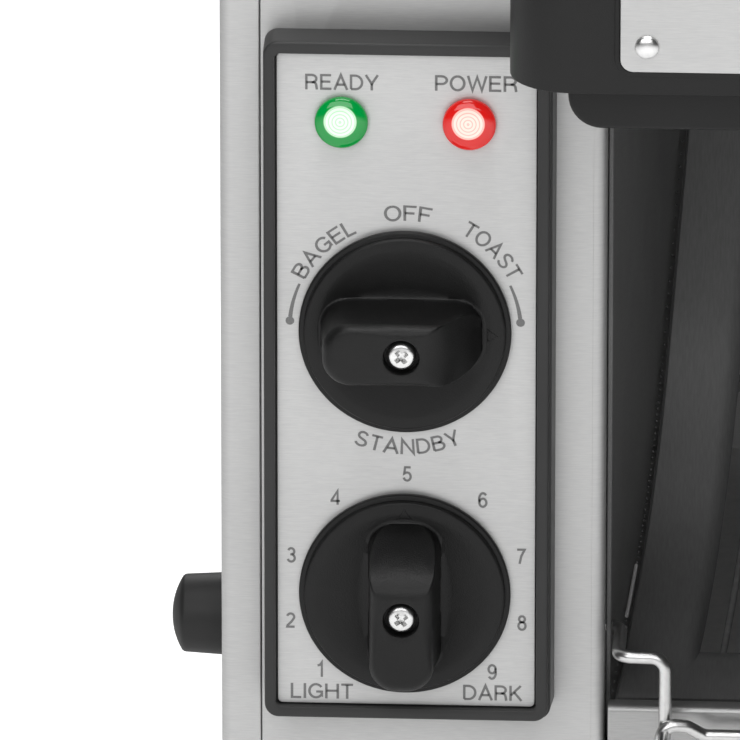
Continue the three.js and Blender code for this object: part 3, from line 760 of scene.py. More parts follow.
def scatter(name, fitting, spots, turn, finish, size=1.0):
    mesh = bpy.data.meshes.new(name)
    mesh.from_pydata([place(spot) for spot in spots], [], [])
    values = {"Fitting": fitting, "Turn": [math.radians(a) for a in turn], "Size": size}
    return runTree(linked(name, mesh), trees["scatter"], values, finish)


def fittingMesh(name, profile, segments=20):
    # a small fitting about its own origin, its head pointing to -y
    verts, faces = turnedMesh([(r, -h) for r, h in profile], "y", (0, 0, 0), segments)
    mesh = bpy.data.meshes.new(name)
    mesh.from_pydata([Vector(v) * mm for v in verts], [], faces)
    cleanMesh(mesh, 35)
    return addObject(name, mesh, "chromeWire")


print("tools ready")

# fittings that repeat


def domeProfile(radius, height):
    return [(radius, -0.6), (radius, 0.0)] + [(radius * c, height * s) for c, s in quarterTurn(6, 1)]


fittings = {
    "rivet": fittingMesh("rivet", domeProfile(2.9, 1.3)),
    "panHead": fittingMesh("panHead", [(0, -0.4), (3.4, -0.4), (3.4, 0.9), (2.9, 1.6), (1.6, 2.0), (1.1, 1.9),
                                       (0.9, 1.0), (0, 0.9)]),
    "speck": fittingMesh("speck", domeProfile(0.45, 0.35), 10)
}


louvreLook = {
    "length": 30, "height": 6.5, "depth": 3.0, "wall": 0.8, "rows": 8, "first": 62, "pitch": 11,
    "middle": 220,
    "slot": (191, 249), "slotHalf": 1.6, "corner": 1.4, "proud": 0.05
}


def makeLouvreFitting(look):
    # a pressed louvre about its own origin, opening down, bulging to -x
    rings = []
    for k in range(7):
        bulge = look["depth"] * math.sin(math.pi / 2 * (k / 6)) ** 0.8
        ring = []
        for i in range(17):
            t = -1 + 2 * i / 16
            taper = max(0.0, 1 - abs(t) ** 6)
            ring.append((-bulge * taper, look["length"] * t, look["height"] / 2 - look["height"] * k / 6))
        rings.append(ring)
    mesh = bpy.data.meshes.new("louvre")
    mesh.from_pydata([Vector(p) * mm for ring in rings for p in ring], [], gridFaces(7, 17))
    cleanMesh(mesh, 50)
    return thickened(addObject("louvre", mesh, "brushedFront"), look["wall"], -1, 50)


fittings["louvre"] = makeLouvreFitting(louvreLook)

# case

casing = {
    "sheet": 1.2, "bend": 2.2, "flange": 9.6, "edge": 0.25, "hemBend": 2.0, "hemDepth": 12,
    "strip": 2.9, "mouth": (32, 381), "gap": 1.1, "controls": (19, 88, 71, 238), "corner": 3
}


def sidePanel(name, mirror):
    low, high = boxOf(name)
    width = boxOf("top_cover")[1].x
    half = casing["sheet"] / 2
    at = (lambda u: width - u) if mirror else (lambda u: u)
    outline = sheetOutline(
        [(at(casing["flange"]), half), (at(half), half), (at(half), high.y)], casing["sheet"], casing["bend"],
        8)
    panel = prism(name + "_sheet", outline, "plan", low.z, high.z, "brushedFront")
    panel = withBevel(panel, casing["edge"], 1)
    outer = width if mirror else 0
    look, half = louvreLook, louvreLook["slotHalf"]
    slots = []
    spots = []
    for row in range(look["rows"]):
        z = look["first"] + row * look["pitch"]
        start, end = look["slot"]
        outline = roundedBox(start, z - half, end, z + half, look["corner"], 3)
        slots.append(prism("slot", outline, "side", outer - 3, outer + 3, "brushedFront"))
        spots.append((outer + (look["proud"] if mirror else -look["proud"]), look["middle"], z + half))
    panel = withHoles(panel, slots)
    louvres = scatter(name + "_louvres", fittings["louvre"], spots, (0, 0, 180 if mirror else 0),
                      "brushedFront")
    finished(louvres, body="case")
    return finished(panel, name)


def frontPanel():
    low, high = boxOf("front_panel")
    left, right = boxOf("discharge_lip")[0].x - casing["gap"], boxOf("discharge_lip")[1].x + casing["gap"]
    bottom, top = casing["mouth"]
    strip, sheet = casing["strip"], casing["sheet"]
    outer = [(low.x, low.z), (high.x, low.z), (high.x, high.z), (low.x, high.z)]
    opening = [(left - strip, bottom), (right + strip, bottom), (right + strip, top), (left - strip, top)]
    controls = roundedBox(*casing["controls"], casing["corner"])
    parts = [plate("face", outer, [opening, controls], "front", 0, sheet, "brushedFront", 0.1)]
    for edge, way in ((left, 1), (right, -1)):
        half = sheet / 2
        line = [(edge - way * strip, half), (edge - way * half, half),
                (edge - way * half, casing["hemDepth"])]
        parts.append(prism("hem", sheetOutline(line, sheet, casing["hemBend"], 8), "plan", bottom, top,
                           "brushedFront"))
    return finished(joined("front_panel_sheet", parts), "front_panel")


screwLook = {"margin": 7, "rearHeights": (130, 240), "sideDepths": (14, 296), "sideHeights": (40, 382)}


def makeCase():
    sidePanel("left_side_panel", False)
    sidePanel("right_side_panel", True)
    frontPanel()
    refined("top_cover", 0.35, "brushedFlat")
    refined("rear_cover", 0.3, "brushedFront")
    refined("base_pan", 0.2, "brushedFlat")
    refined("partition_wall", 0.15, "innerSteel")
    low, high = boxOf("rear_cover")
    look = screwLook
    margin = look["margin"]
    columns = [low.x + margin + (high.x - low.x - 2 * margin) * k / 3 for k in range(4)]
    rear = [(u, high.y, z) for u in columns for z in (low.z + margin, high.z - margin)]
    rear += [(u, high.y, low.z + z) for u in (low.x + margin, high.x - margin) for z in look["rearHeights"]]
    left = [(0.0, w, z) for w in look["sideDepths"] for z in look["sideHeights"]]
    right = [(high.x, w, z) for _, w, z in left]
    for name, spots, turn in (("rear", rear, 180), ("left", left, -90), ("right", right, 90)):
        screws = scatter(name + "_screws", fittings["panHead"], spots, (0, 0, turn), "chromeWire")
        finished(screws, body="case")


# radius and height from the ground up, then radius and depth below the foot's top
footLook = {
    "lower": [(0, 0), (9.5, 0), (9.5, 1.2), (11, 1.2), (11, 0), (12.6, 0), (13.6, 0.4), (14, 1.4), (15.2, 12),
              (15.2, 13), (14.4, 13.6), (14.4, 15), (15.4, 15.6)],
    "upper": [(16, 0.8), (15.6, 0), (0, 0)]
}


def makeFeet():
    for end in ("front", "rear"):
        for side in ("left", "right"):
            node = f"{end}_{side}_foot"
            low, high = boxOf(node)
            centre = ((low.x + high.x) / 2, (low.y + high.y) / 2, 0)
            profile = footLook["lower"] + [(r, high.z - h) for r, h in footLook["upper"]]
            finished(turned(node + "_rubber", profile, "z", centre, "rubber", 48), node)


# the bumper's root, its waist below the shoulder and its domed end
bumperLook = {
    "root": [(0, 0), (9.6, 0), (10, 0.3), (10, 0.9)], "waist": [(9.5, -0.5), (9.4, 0), (9.05, 0.5)],
    "dome": 9.05, "domeHeight": 2.5, "curve": 2.2, "shoulder": 3.0
}


def makeBumper(node, way):
    look = bumperLook
    low, high = boxOf(node)
    centre = (0, (low.y + high.y) / 2, (low.z + high.z) / 2)
    base = high.x if way < 0 else low.x
    length = high.x - low.x
    shoulder = length - look["shoulder"]
    profile = look["root"] + [(r, shoulder + h) for r, h in look["waist"]]
    for k in range(1, 11):
        share = 1 - k / 10
        profile.append((look["dome"] * share, length - look["domeHeight"] * share ** look["curve"]))
    profile = [(r, base + way * h) for r, h in profile]
    finished(turned(node + "_rubber", profile, "x", centre, "rubber", 96), node)


makeCase()
makeFeet()
makeBumper("left_bumper", -1)
makeBumper("right_bumper", 1)
print("case done")

# control panel

bezelLook = {
    "draft": (0.25, 0.3, 1.2, 0.0), "corner": 3.4, "round": 0.6, "window": (13.75, 78.85, 76.35, 244.6),
    "windowCorner": 1.4
}


def makeBezel():
    low, high = boxOf("control_bezel")
    front, back = low.y, high.y

    def ring(inset, w, flare=0):
        left, bottom, right, top = [flare * d for d in bezelLook["draft"]]
        return [(a, w, b) for a, b in roundedBox(
            low.x + inset - left, low.z + inset - bottom, high.x - inset + right, high.z - inset + top,
            max(bezelLook["corner"] - inset, 0.6), 8)]

    def windowRing(grow, w, corner):
        a0, b0, a1, b1 = bezelLook["window"]
        return [(a, w, b) for a, b in roundedBox(a0 - grow, b0 - grow, a1 + grow, b1 + grow, corner, 8)]

    soft = bezelLook["round"]
    rings = [ring(0, back, 1), ring(0, front + 2.2, 0.5), ring(0, front + 1.9, 0.12), ring(0, front + soft)]
    rings += [ring(soft * (1 - c), front + soft * (1 - s)) for c, s in quarterTurn(4, 1)]
    corner = bezelLook["windowCorner"]
    inner = ((0.35, 0, 0.3), (0.1, 0.12, 0.1), (0, 0.4, 0), (0, 3.3, 0), (-4, 3.3, 0))
    rings += [windowRing(grow, front + deep, corner + extra) for grow, deep, extra in inner]
    rings.append(windowRing(-4, back, corner))
    verts, faces = loft(rings, closed=False)
    count = len(rings[0])
    last = (len(rings) - 1) * count
    faces += [(i, (i + 1) % count, last + (i + 1) % count, last + i) for i in range(count)]
    return finished(newPiece("control_bezel_moulding", verts, faces, "bezelPlastic", 30), "control_bezel")


def circle(centreA, centreB, radius, steps=40):
    return arcPoints(centreA, centreB, radius, 0, 360 - 360 / steps, steps - 1)


def makeControlPlate():
    low, high = boxOf("control_plate")
    holes = []
    for node, radius in (("mode_knob", 4.2), ("browning_knob", 4.2), ("ready_lamp", 5.4),
                         ("power_lamp", 5.4)):
        centre = centreOf(node)
        holes.append(circle(centre.x, centre.z, radius))
    outline = roundedBox(low.x, low.z, high.x, high.z, 1.2)
    piece = plate("control_plate_face", outline, holes, "front", low.y, high.y, "brushedPlate", 0.15)
    return finished(piece, "control_plate")


knobLook = {
    "skirt": 3.5, "dish": 20.9, "dishDepth": 2.0, "height": 20, "edge": 3.0, "bore": 4.35, "boreDepth": 3.6,
    "foot": {"half": 8.6, "tail": 20.0, "nose": 18.7, "corner": 6.6},
    "top": {"half": 7.7, "tail": 18.9, "nose": 18.2, "corner": 6.4},
    "shoulder": 8.8, "shoulderRound": 3.2
}


def barReach(angle, bar):
    # distance from the axis to the edge of a round-cornered bar, angle measured from its nose
    middle = (bar["nose"] - bar["tail"]) / 2
    halfLong = (bar["nose"] + bar["tail"]) / 2 - bar["corner"]
    halfWide = bar["half"] - bar["corner"]
    near, far = 0.0, 30.0
    for _ in range(24):
        reach = (near + far) / 2
        along = max(abs(reach * math.cos(angle) - middle) - halfLong, 0)
        aside = max(abs(reach * math.sin(angle)) - halfWide, 0)
        if math.hypot(along, aside) < bar["corner"]:
            near = reach
        else:
            far = reach
    return near


def makeKnob(node, pointerTurn):
    look = knobLook
    centre = centreOf(node)
    face = boxOf("control_plate")[0].y
    wide = (boxOf(node)[1].x - boxOf(node)[0].x) / 2
    count = 144
    angles = [2 * math.pi * k / count for k in range(count)]
    top, skirt, edge = look["height"], look["skirt"], look["edge"]
    floor = skirt - look["dishDepth"]

    def level(radius, height):
        return [(radius, height)] * count

    foot = [barReach(a, look["foot"]) for a in angles]
    brow = [barReach(a, look["top"]) for a in angles]
    rings = [level(0.01, -3.4), level(3.4, -3.4), level(3.4, 0.5), level(wide - 0.3, 0.5), level(wide, 0.8),
             level(wide, 1.6)]
    rings += [level(wide - 0.15, 1.95), level(wide - 0.5, 2.1), level(wide - 1, 2.0), level(wide - 1.2, 2.1),
              level(wide - 1.25, 2.7)]
    rings += [level(wide - 2 + 0.7 * c, skirt - 0.7 + 0.7 * s) for c, s in quarterTurn(4)]
    rings += [level(look["dish"] + 0.5, skirt), level(look["dish"], skirt - 0.03)]
    for k in range(1, 6):
        ring = []
        for reach in foot:
            radius = look["dish"] + (min(reach + 0.5, look["dish"] - 0.3) - look["dish"]) * k / 5
            ring.append((radius, floor + look["dishDepth"] * (radius / look["dish"]) ** 2 - 0.02))
        rings.append(ring)
    rings.append([(reach, floor + 0.35 + look["dishDepth"] * (reach / look["dish"]) ** 2) for reach in foot])
    for k in range(1, 8):
        share = k / 7
        height = floor + 1.2 + (top - edge - floor - 1.2) * share
        rings.append([(a + (b - a) * share, height) for a, b in zip(foot, brow)])
    for c, s in quarterTurn(7, 1):
        rings.append([(reach - edge * (1 - c), top - edge + edge * s) for reach in brow])
    outer = [radius for radius, _ in rings[-1]]
    bore = look["bore"]
    for share in (0.3, 0.6, 0.85):
        rings.append([(radius + (bore + 0.35 - radius) * share, top) for radius in outer])
    rings += [level(bore + 0.3, top), level(bore + 0.08, top - 0.08), level(bore, top - 0.3)]
    rings += [level(bore, top - look["boreDepth"]), level(0.01, top - look["boreDepth"])]
    slopeEnd = look["foot"]["nose"] - 0.6
    fall = (top - skirt - 0.2) / (slopeEnd - look["shoulder"])

    def slopeHeight(ahead):
        # the nose slopes straight down to the skirt, round at its shoulder
        soft = look["shoulderRound"]
        past = ahead - look["shoulder"]
        if past <= -soft:
            return top
        if past >= soft:
            return top - fall * past
        return top - fall * (past + soft) ** 2 / (4 * soft)

    points = []
    for ring in rings:
        row = []
        for (radius, height), angle in zip(ring, angles):
            if height > skirt:
                height = max(min(height, slopeHeight(radius * math.cos(angle))), skirt - 0.4)
            spin = angle + pointerTurn
            row.append((centre.x + radius * math.sin(spin), face - height,
                        centre.z + radius * math.cos(spin)))
        points.append(row)
    verts, faces = loft(points)
    return finished(newPiece(node + "_moulding", verts, faces, "knobPlastic", 50), node)


def makeKnobPointer(node, pointerTurn):
    # the fine outline triangle between the bar and the rim
    centre = centreOf(node)
    face = boxOf("control_plate")[0].y
    path = []
    for a, b in ((-1.6, 19.7), (1.6, 19.7), (0, 22.2)):
        u = a * math.cos(pointerTurn) + b * math.sin(pointerTurn)
        z = b * math.cos(pointerTurn) - a * math.sin(pointerTurn)
        path.append((centre.x + u, face - knobLook["skirt"] + 0.02, centre.z + z))
    piece = wires(node + "_pointer", [path], 0.15, "bezelPlastic", 8, cyclic=True)
    return finished(piece, body=nodeBody(node))


def makeKnobScrew(node):
    # a cross-slot pan head in the knob's bore
    low, high = boxOf(node)
    centre = centreOf(node)
    face = low.y
    profile = [(0.05, high.y), (3.3, high.y), (3.4, high.y - 0.3), (3.4, face + 1.5)]
    profile += [(max(2.2 + 1.2 * c, 0.05), face + 1.5 - 1.2 * s) for c, s in quarterTurn(7, 1)]
    profile += [(1.2, face + 0.1), (0.05, face)]
    head = turned(node + "_head", profile, "y", (centre.x, 0, centre.z), "screwSteel", 56, 40)
    slots = []
    for turn in (38, 128):
        a = math.radians(turn)
        along = Vector((math.cos(a), 0, math.sin(a)))
        side = Vector((-math.sin(a), 0, math.cos(a)))
        rings = []
        for depth, long, wide in ((face - 1, 2.5, 0.78), (face + 1.7, 0.9, 0.3)):
            base = Vector((centre.x, depth, centre.z))
            rings.append([base + along * long + side * wide, base - along * long + side * wide,
                          base - along * long - side * wide, base + along * long - side * wide])
        slots.append(newPiece("slot", *loft(rings), "screwSteel"))
    return finished(withHoles(head, slots), node)


def makeLamp(node):
    back = boxOf(node)[1].y
    centre = centreOf(node)
    face = boxOf("control_plate")[0].y
    profile = [(0.02, back), (5, back), (5, face - 0.2), (6.1, face - 0.2), (6.35, face - 0.4),
               (6.35, face - 0.9)]
    for c, s in quarterTurn(12, 1):
        profile.append((max(6.35 * c ** 0.8, 0.02), face - 0.9 - 1.9 * s))
    return finished(turned(node + "_lens", profile, "y", (centre.x, 0, centre.z), node, 72, 50), node)


legends = {"cap": 3.85, "thickness": 0.05, "weight": 0.15, "spacing": 0.11}
straightLegends = [
    ("READY", 21.0, 38.4, 235.2), ("POWER", 51.8, 71.4, 235.4), ("LIGHT", 17.3, 32.4, 80.4),
    ("DARK", 58.8, 73.0, 80.7)
]
archedLegends = [
    ("OFF", 1.2, 22.0, 27.6), ("BAGEL", -44, 37.5, 26.9), ("TOAST", 45.5, 34.0, 27.9),
    ("STANDBY", 178.8, 49, 31.6)
]
dialNumbers = [
    ("1", -135, 28.9), ("2", -106, 28.6), ("3", -72, 28.7), ("4", -35, 29.1), ("5", 1.0, 30.1),
    ("6", 38, 30.2),
    ("7", 71, 29.4), ("8", 105, 29.1), ("9", 134, 29.2)
]


def bow(a, b, wide, tall, start, end, steps=10):
    angles = [math.radians(start + (end - start) * k / steps) for k in range(steps + 1)]
    return [(a + wide * math.cos(t), b + tall * math.sin(t)) for t in angles]


# each character: its width, then its strokes, with capitals one unit tall
glyphs = {
    "A": (0.86, [[(0.05, 0), (0.43, 0.97), (0.81, 0)], [(0.2, 0.34), (0.66, 0.34)]]),
    "B": (0.74, [[(0.07, 0.06), (0.07, 0.94), (0.38, 0.94), *bow(0.38, 0.735, 0.24, 0.205, 90, -90),
                  (0.07, 0.53)],
                 [(0.38, 0.53), *bow(0.4, 0.295, 0.27, 0.235, 90, -90), (0.07, 0.06)]]),
    "D": (0.8, [[(0.07, 0.06), (0.07, 0.94), (0.32, 0.94), *bow(0.32, 0.5, 0.41, 0.44, 90, -90, 14),
                 (0.07, 0.06)]]),
    "E": (0.7, [[(0.66, 0.94), (0.07, 0.94), (0.07, 0.06), (0.68, 0.06)], [(0.07, 0.52), (0.62, 0.52)]]),
    "F": (0.66, [[(0.64, 0.94), (0.07, 0.94), (0.07, 0)], [(0.07, 0.5), (0.56, 0.5)]]),
    "G": (0.86, [[*bow(0.45, 0.5, 0.38, 0.44, 35, 320, 18), (0.78, 0.2), (0.78, 0.45), (0.46, 0.45)]]),
    "H": (0.8, [[(0.07, 0), (0.07, 1)], [(0.73, 0), (0.73, 1)], [(0.07, 0.52), (0.73, 0.52)]]),
    "I": (0.16, [[(0.08, 0), (0.08, 1)]]),
    "K": (0.76, [[(0.07, 0), (0.07, 1)], [(0.68, 1), (0.09, 0.36)], [(0.28, 0.57), (0.72, 0)]]),
    "L": (0.62, [[(0.07, 1), (0.07, 0.06), (0.6, 0.06)]]),
    "N": (0.8, [[(0.07, 0), (0.07, 0.97), (0.73, 0.03), (0.73, 1)]]),
    "O": (0.86, [[*bow(0.43, 0.5, 0.37, 0.45, 90, 450, 26)]]),
    "P": (0.72, [[(0.07, 0), (0.07, 0.94), (0.38, 0.94), *bow(0.38, 0.69, 0.28, 0.25, 90, -90),
                  (0.07, 0.44)]]),
    "R": (0.78, [[(0.07, 0), (0.07, 0.94), (0.4, 0.94), *bow(0.4, 0.705, 0.27, 0.235, 90, -90), (0.07, 0.47)],
                 [(0.4, 0.47), *bow(0.46, 0.27, 0.2, 0.2, 80, 10, 5), (0.7, 0)]]),
    "S": (0.74, [[*bow(0.37, 0.735, 0.26, 0.215, 15, 245, 12), *bow(0.37, 0.27, 0.29, 0.22, 75, -165, 12)]]),
    "T": (0.72, [[(0.02, 0.94), (0.7, 0.94)], [(0.36, 0.94), (0.36, 0)]]),
    "W": (1.1, [[(0.04, 1), (0.29, 0.05), (0.55, 0.93), (0.81, 0.05), (1.06, 1)]]),
    "Y": (0.8, [[(0.04, 1), (0.4, 0.42), (0.76, 1)], [(0.4, 0.45), (0.4, 0)]]),
    "1": (0.4, [[(0.04, 0.76), (0.2, 0.8), (0.31, 0.98), (0.31, 0)]]),
    "2": (0.58, [[*bow(0.29, 0.72, 0.22, 0.22, 165, -30, 10), (0.34, 0.4), (0.1, 0.16), (0.07, 0.06),
                  (0.54, 0.06)]]),
    "3": (0.58, [[*bow(0.28, 0.73, 0.19, 0.21, 160, -70, 10)],
                 [(0.22, 0.53), *bow(0.28, 0.29, 0.22, 0.24, 80, -165, 12)]]),
    "4": (0.6, [[(0.43, 0), (0.43, 0.92), (0.06, 0.3), (0.06, 0.25), (0.58, 0.25)]]),
    "5": (0.58, [[(0.5, 0.94), (0.15, 0.94), (0.1, 0.52), *bow(0.28, 0.33, 0.22, 0.27, 120, -165, 14)]]),
    "6": (0.58, [[*bow(0.3, 0.32, 0.22, 0.27, 170, -190, 18), *bow(0.31, 0.55, 0.24, 0.4, 185, 40, 12)]]),
    "7": (0.56, [[(0.04, 0.94), (0.51, 0.94), (0.3, 0.5), (0.2, 0)]]),
    "8": (0.58, [[*bow(0.29, 0.75, 0.18, 0.2, 90, 450, 16)], [*bow(0.29, 0.3, 0.22, 0.25, 90, 450, 18)]]),
    "9": (0.58, [[*bow(0.28, 0.68, 0.22, 0.27, -10, 350, 18), *bow(0.27, 0.45, 0.24, 0.4, 5, -140, 12)]])
}


def ribbon(stroke, weight):
    # a stroke widened into quads, mitred at its corners
    points = [Vector(p) for p in stroke]
    points = [p for k, p in enumerate(points) if k == 0 or (p - points[k - 1]).length > 1e-4]
    pairs = []
    for k, point in enumerate(points):
        into = (point - points[max(k - 1, 0)]).normalized() if k else (points[1] - point).normalized()
        out = (points[min(k + 1, len(points) - 1)] - point).normalized() if k < len(points) - 1 else into
        along = (into + out).normalized()
        reach = weight / 2 / max(along.dot(into), 0.35)
        pairs.append((point + Vector((-along.y, along.x)) * reach,
                      point - Vector((-along.y, along.x)) * reach))
    return pairs


def letterMesh(text):
    # drawn lettering from 0 to 1 across and capitals one unit tall
    flat, faces, cursor = [], [], 0
    for character in text:
        width, strokes = glyphs[character]
        for stroke in strokes:
            pairs = ribbon(stroke, legends["weight"])
            start = len(flat)
            flat += [(cursor + p.x, p.y) for pair in pairs for p in pair]
            faces += [(start + 2 * k, start + 2 * k + 1, start + 2 * k + 3, start + 2 * k + 2)
                      for k in range(len(pairs) - 1)]
        cursor += width + legends["spacing"]
    total = cursor - legends["spacing"]
    return [(a / total, b) for a, b in flat], faces, total


def legendPiece(name, flat, faces, toPlate):
    plateFace = boxOf("control_plate")[0].y
    verts = []
    for a, b in flat:
        u, z = toPlate(a, b)
        verts.append((u, plateFace - legends["thickness"], z))
    return newPiece(name, verts, faces, "legendInk")


def makeLegends():
    pieces = []
    cap = legends["cap"]
    for text, left, right, base in straightLegends:
        flat, faces, _ = letterMesh(text)
        pieces.append(legendPiece(
            text, flat, faces, lambda a, b: (left + (right - left) * a, base + cap * b)))
    dial = centreOf("mode_knob")
    for text, middle, spread, radius in archedLegends:
        flat, faces, _ = letterMesh(text)
        below = abs(middle) > 90

        def bend(a, b):
            way = -1 if below else 1
            angle = math.radians(middle + way * (a - 0.5) * spread)
            reach = radius + cap * (b if not below else -b)
            return dial.x + reach * math.sin(angle), dial.z + reach * math.cos(angle)

        pieces.append(legendPiece(text, flat, faces, bend))
    dial = centreOf("browning_knob")
    for text, angle, reach in dialNumbers:
        flat, faces, wide = letterMesh(text)
        u = dial.x + reach * math.sin(math.radians(angle))
        z = dial.z + reach * math.cos(math.radians(angle))
        width = wide * cap
        pieces.append(legendPiece(
            "n" + text, flat, faces, lambda a, b: (u + width * (a - 0.5), z + cap * (b - 0.5))))
    dial = centreOf("mode_knob")
    for start, end in ((-66, -84), (65, 83)):
        band = []
        for k in range(13):
            angle = math.radians(start + (end - start) * k / 12)
            half = 0.3 + 0.2 * k / 12
            band.append((angle, half))
        flat = [(27.6 - h, a) for a, h in band] + [(27.6 + h, a) for a, h in band[::-1]]
        faces = [(k, k + 1, 24 - k, 25 - k) for k in range(12)]
        pieces.append(legendPiece(
            "sweep", flat, faces, lambda r, a: (dial.x + r * math.sin(a), dial.z + r * math.cos(a))))
        tip = math.radians(end + math.copysign(2.1, end))
        dot = circle(dial.x + 27.6 * math.sin(tip), dial.z + 27.6 * math.cos(tip), 1.05, 24)
        pieces.append(legendPiece("dot", dot, [tuple(range(24))], lambda a, b: (a, b)))
    return finished(joined("control_legends", pieces), body="case")


def faceForward(piece):
    # flat lettering faces the front
    work = bmesh.new()
    work.from_mesh(piece.data)
    bmesh.ops.reverse_faces(work, faces=[face for face in work.faces if face.normal.y > 0])
    work.to_mesh(piece.data)
    work.free()


makeBezel()
makeControlPlate()
for node, turn in (("mode_knob", math.pi / 2), ("browning_knob", 0.0)):
    makeKnob(node, turn)
    makeKnobPointer(node, turn)
    makeKnobScrew(node + "_screw")
for node in ("ready_lamp", "power_lamp"):
    makeLamp(node)
faceForward(makeLegends())
print("controls done")

# hood

hoodLook = {"corner": 15, "sheet": 1.5, "topRound": 3.0, "edge": 0.45}


def hoodOutline(inset, backTo):
    # the hood's plan, open to the rear
    low, high = boxOf("hood_shell")
    radius = hoodLook["corner"] - inset
    left, right, front = low.x + inset, high.x - inset, low.y + inset
    return ([(left, backTo)] + arcPoints(left + radius, front + radius, radius, 180, 270, 12)
            + arcPoints(right - radius, front + radius, radius, 270, 360, 12) + [(right, backTo)])


def makeHood():
    low, high = boxOf("hood_shell")
    back = high.y
    soft, sheet = hoodLook["topRound"], hoodLook["sheet"]
    sections = [(sheet, low.z + 0.3), (sheet - 0.3, low.z), (0.3, low.z), (0.1, low.z + 0.1),
                (0, low.z + 0.35)]
    sections += [(0, high.z - soft)]
    sections += [(soft * (1 - c), high.z - soft + soft * s) for c, s in quarterTurn(5, 1)]
    sections += [(12, high.z), (12, high.z - sheet), (sheet + 1, high.z - sheet), (sheet, high.z - sheet - 1)]
    rings = [[(a, b, z) for a, b in hoodOutline(inset, back)] for inset, z in sections]
    count = len(rings[0])
    verts = [p for ring in rings for p in ring]
    faces = []
    for k in range(len(rings)):
        n = (k + 1) % len(rings)
        for i in range(count - 1):
            faces.append((k * count + i, k * count + i + 1, n * count + i + 1, n * count + i))
    faces.append(tuple(k * count for k in range(len(rings))))
    faces.append(tuple(k * count + count - 1 for k in range(len(rings))))
    wall = newPiece("wall", verts, faces, "powderCoat", 40)
    gapLeft = boxOf("left_conveyor_plate")[0].x - 0.8
    gapRight = across(gapLeft)
    deckOutline = hoodOutline(11, back) + [(gapRight, back), (gapRight, -50), (gapLeft, -50), (gapLeft, back)]
    deck = plate("deck", deckOutline, [], "plan", high.z - sheet, high.z - 0.02, "powderCoat")
    return finished(joined("hood_shell_coated", [wall, deck]), "hood_shell")


def makeHoodPlate():
    low, high = boxOf("hood_plate")
    outline = roundedBox(low.x, low.z, high.x, high.z, 3, 8)
    piece = plate("hood_plate_face", outline, [], "front", low.y, high.y + 0.28, "brushedFront", 0.25)
    finished(piece, "hood_plate")
    margin = 1.3
    edge = roundedBox(low.x - margin, low.z - margin, high.x + margin, high.z + margin, 3 + margin, 8)
    window = roundedBox(low.x - 0.15, low.z - 0.15, high.x + 0.15, high.z + 0.15, 3, 8)
    lip = plate("hood_plate_lip", edge, [window], "front", low.y + 0.75, high.y + 0.28, "powderCoat", 0.15)
    finished(lip, body="case")
    inset = 6.2
    spots = [(u, low.y - 0.05, z) for u in (low.x + inset, high.x - inset)
             for z in (low.z + inset, high.z - inset)]
    return finished(scatter("hood_rivets", fittings["rivet"], spots, (0, 0, 0), "screwSteel"), body="case")


def makeNoseGuard():
    low, high = boxOf("nose_guard")
    radius = 8

    def ring(inset, w):
        left, right, bottom = low.x + inset, high.x - inset, low.z + inset
        r = radius - inset
        line = ([(left, high.z)] + arcPoints(left + r, bottom + r, r, 180, 270, 10)
                + arcPoints(right - r, bottom + r, r, 270, 360, 10) + [(right, high.z)])
        return [(a, w, b) for a, b in line]

    soft = 1.2
    rings = [ring(0, high.y)]
    rings += [ring(soft * (1 - c), low.y + soft * (1 - s)) for c, s in quarterTurn(5)]
    count = len(rings[0])
    verts = [p for r in rings for p in r]
    faces = gridFaces(len(rings), count)
    faces.append(tuple(range((len(rings) - 1) * count, len(rings) * count)))
    piece = newPiece("nose_guard_coated", verts, faces, "powderCoat", 40)
    return finished(thickened(piece, 1.2, -1), "nose_guard")


makeHood()
makeHoodPlate()
makeNoseGuard()
print("hood done")

# chute, slide and rack

chute = {"toeIn": 0.1024, "sheet": 1.2, "band": 19.5, "open": (24, 150), "knee": (75.9, 103.3),
         "foot": (6.6, 75.3), "head": (199.9, 274), "bend": 120}


def chuteInset(w):
    return boxOf("discharge_lip")[0].x - 1.1 + chute["toeIn"] * w


def makeChuteWall(node, mirror):
    low, high = boxOf(node)
    start = low.y
    outline = [(start, low.z), (40, low.z), (66, 78), (112, 124), (high.y, 230), (high.y, high.z),
               (start, high.z)]
    at = across if mirror else (lambda u: u)
    rings = []
    for side in (0, -chute["sheet"]):
        rings.append([(at(chuteInset(w) + side), w, z) for w, z in outline])
    piece = newPiece(node + "_sheet", *loft(rings), "chuteSide")
    return finished(withBevel(piece, 0.2, 1), node)


def slideLine(steps=20):
    points = roundCorners([(*chute["foot"], 0), (*chute["knee"], 0), (*chute["head"], 0)], chute["bend"],
                          steps)
    return [(p.x, p.y) for p in points]


def slideNormals(line):
    normals = []
    for i in range(len(line)):
        a, b = line[max(i - 1, 0)], line[min(i + 1, len(line) - 1)]
        d = Vector((b[0] - a[0], b[1] - a[1])).normalized()
        normals.append((-d.y, d.x))
    return normals


def denseLine(line, step):
    # the slide's line with points no further apart than step
    points = [line[0]]
    for a, b in zip(line, line[1:]):
        parts = max(1, math.ceil(math.dist(a, b) / step))
        points += [(a[0] + (b[0] - a[0]) * k / parts, a[1] + (b[1] - a[1]) * k / parts)
                   for k in range(1, parts + 1)]
    return points


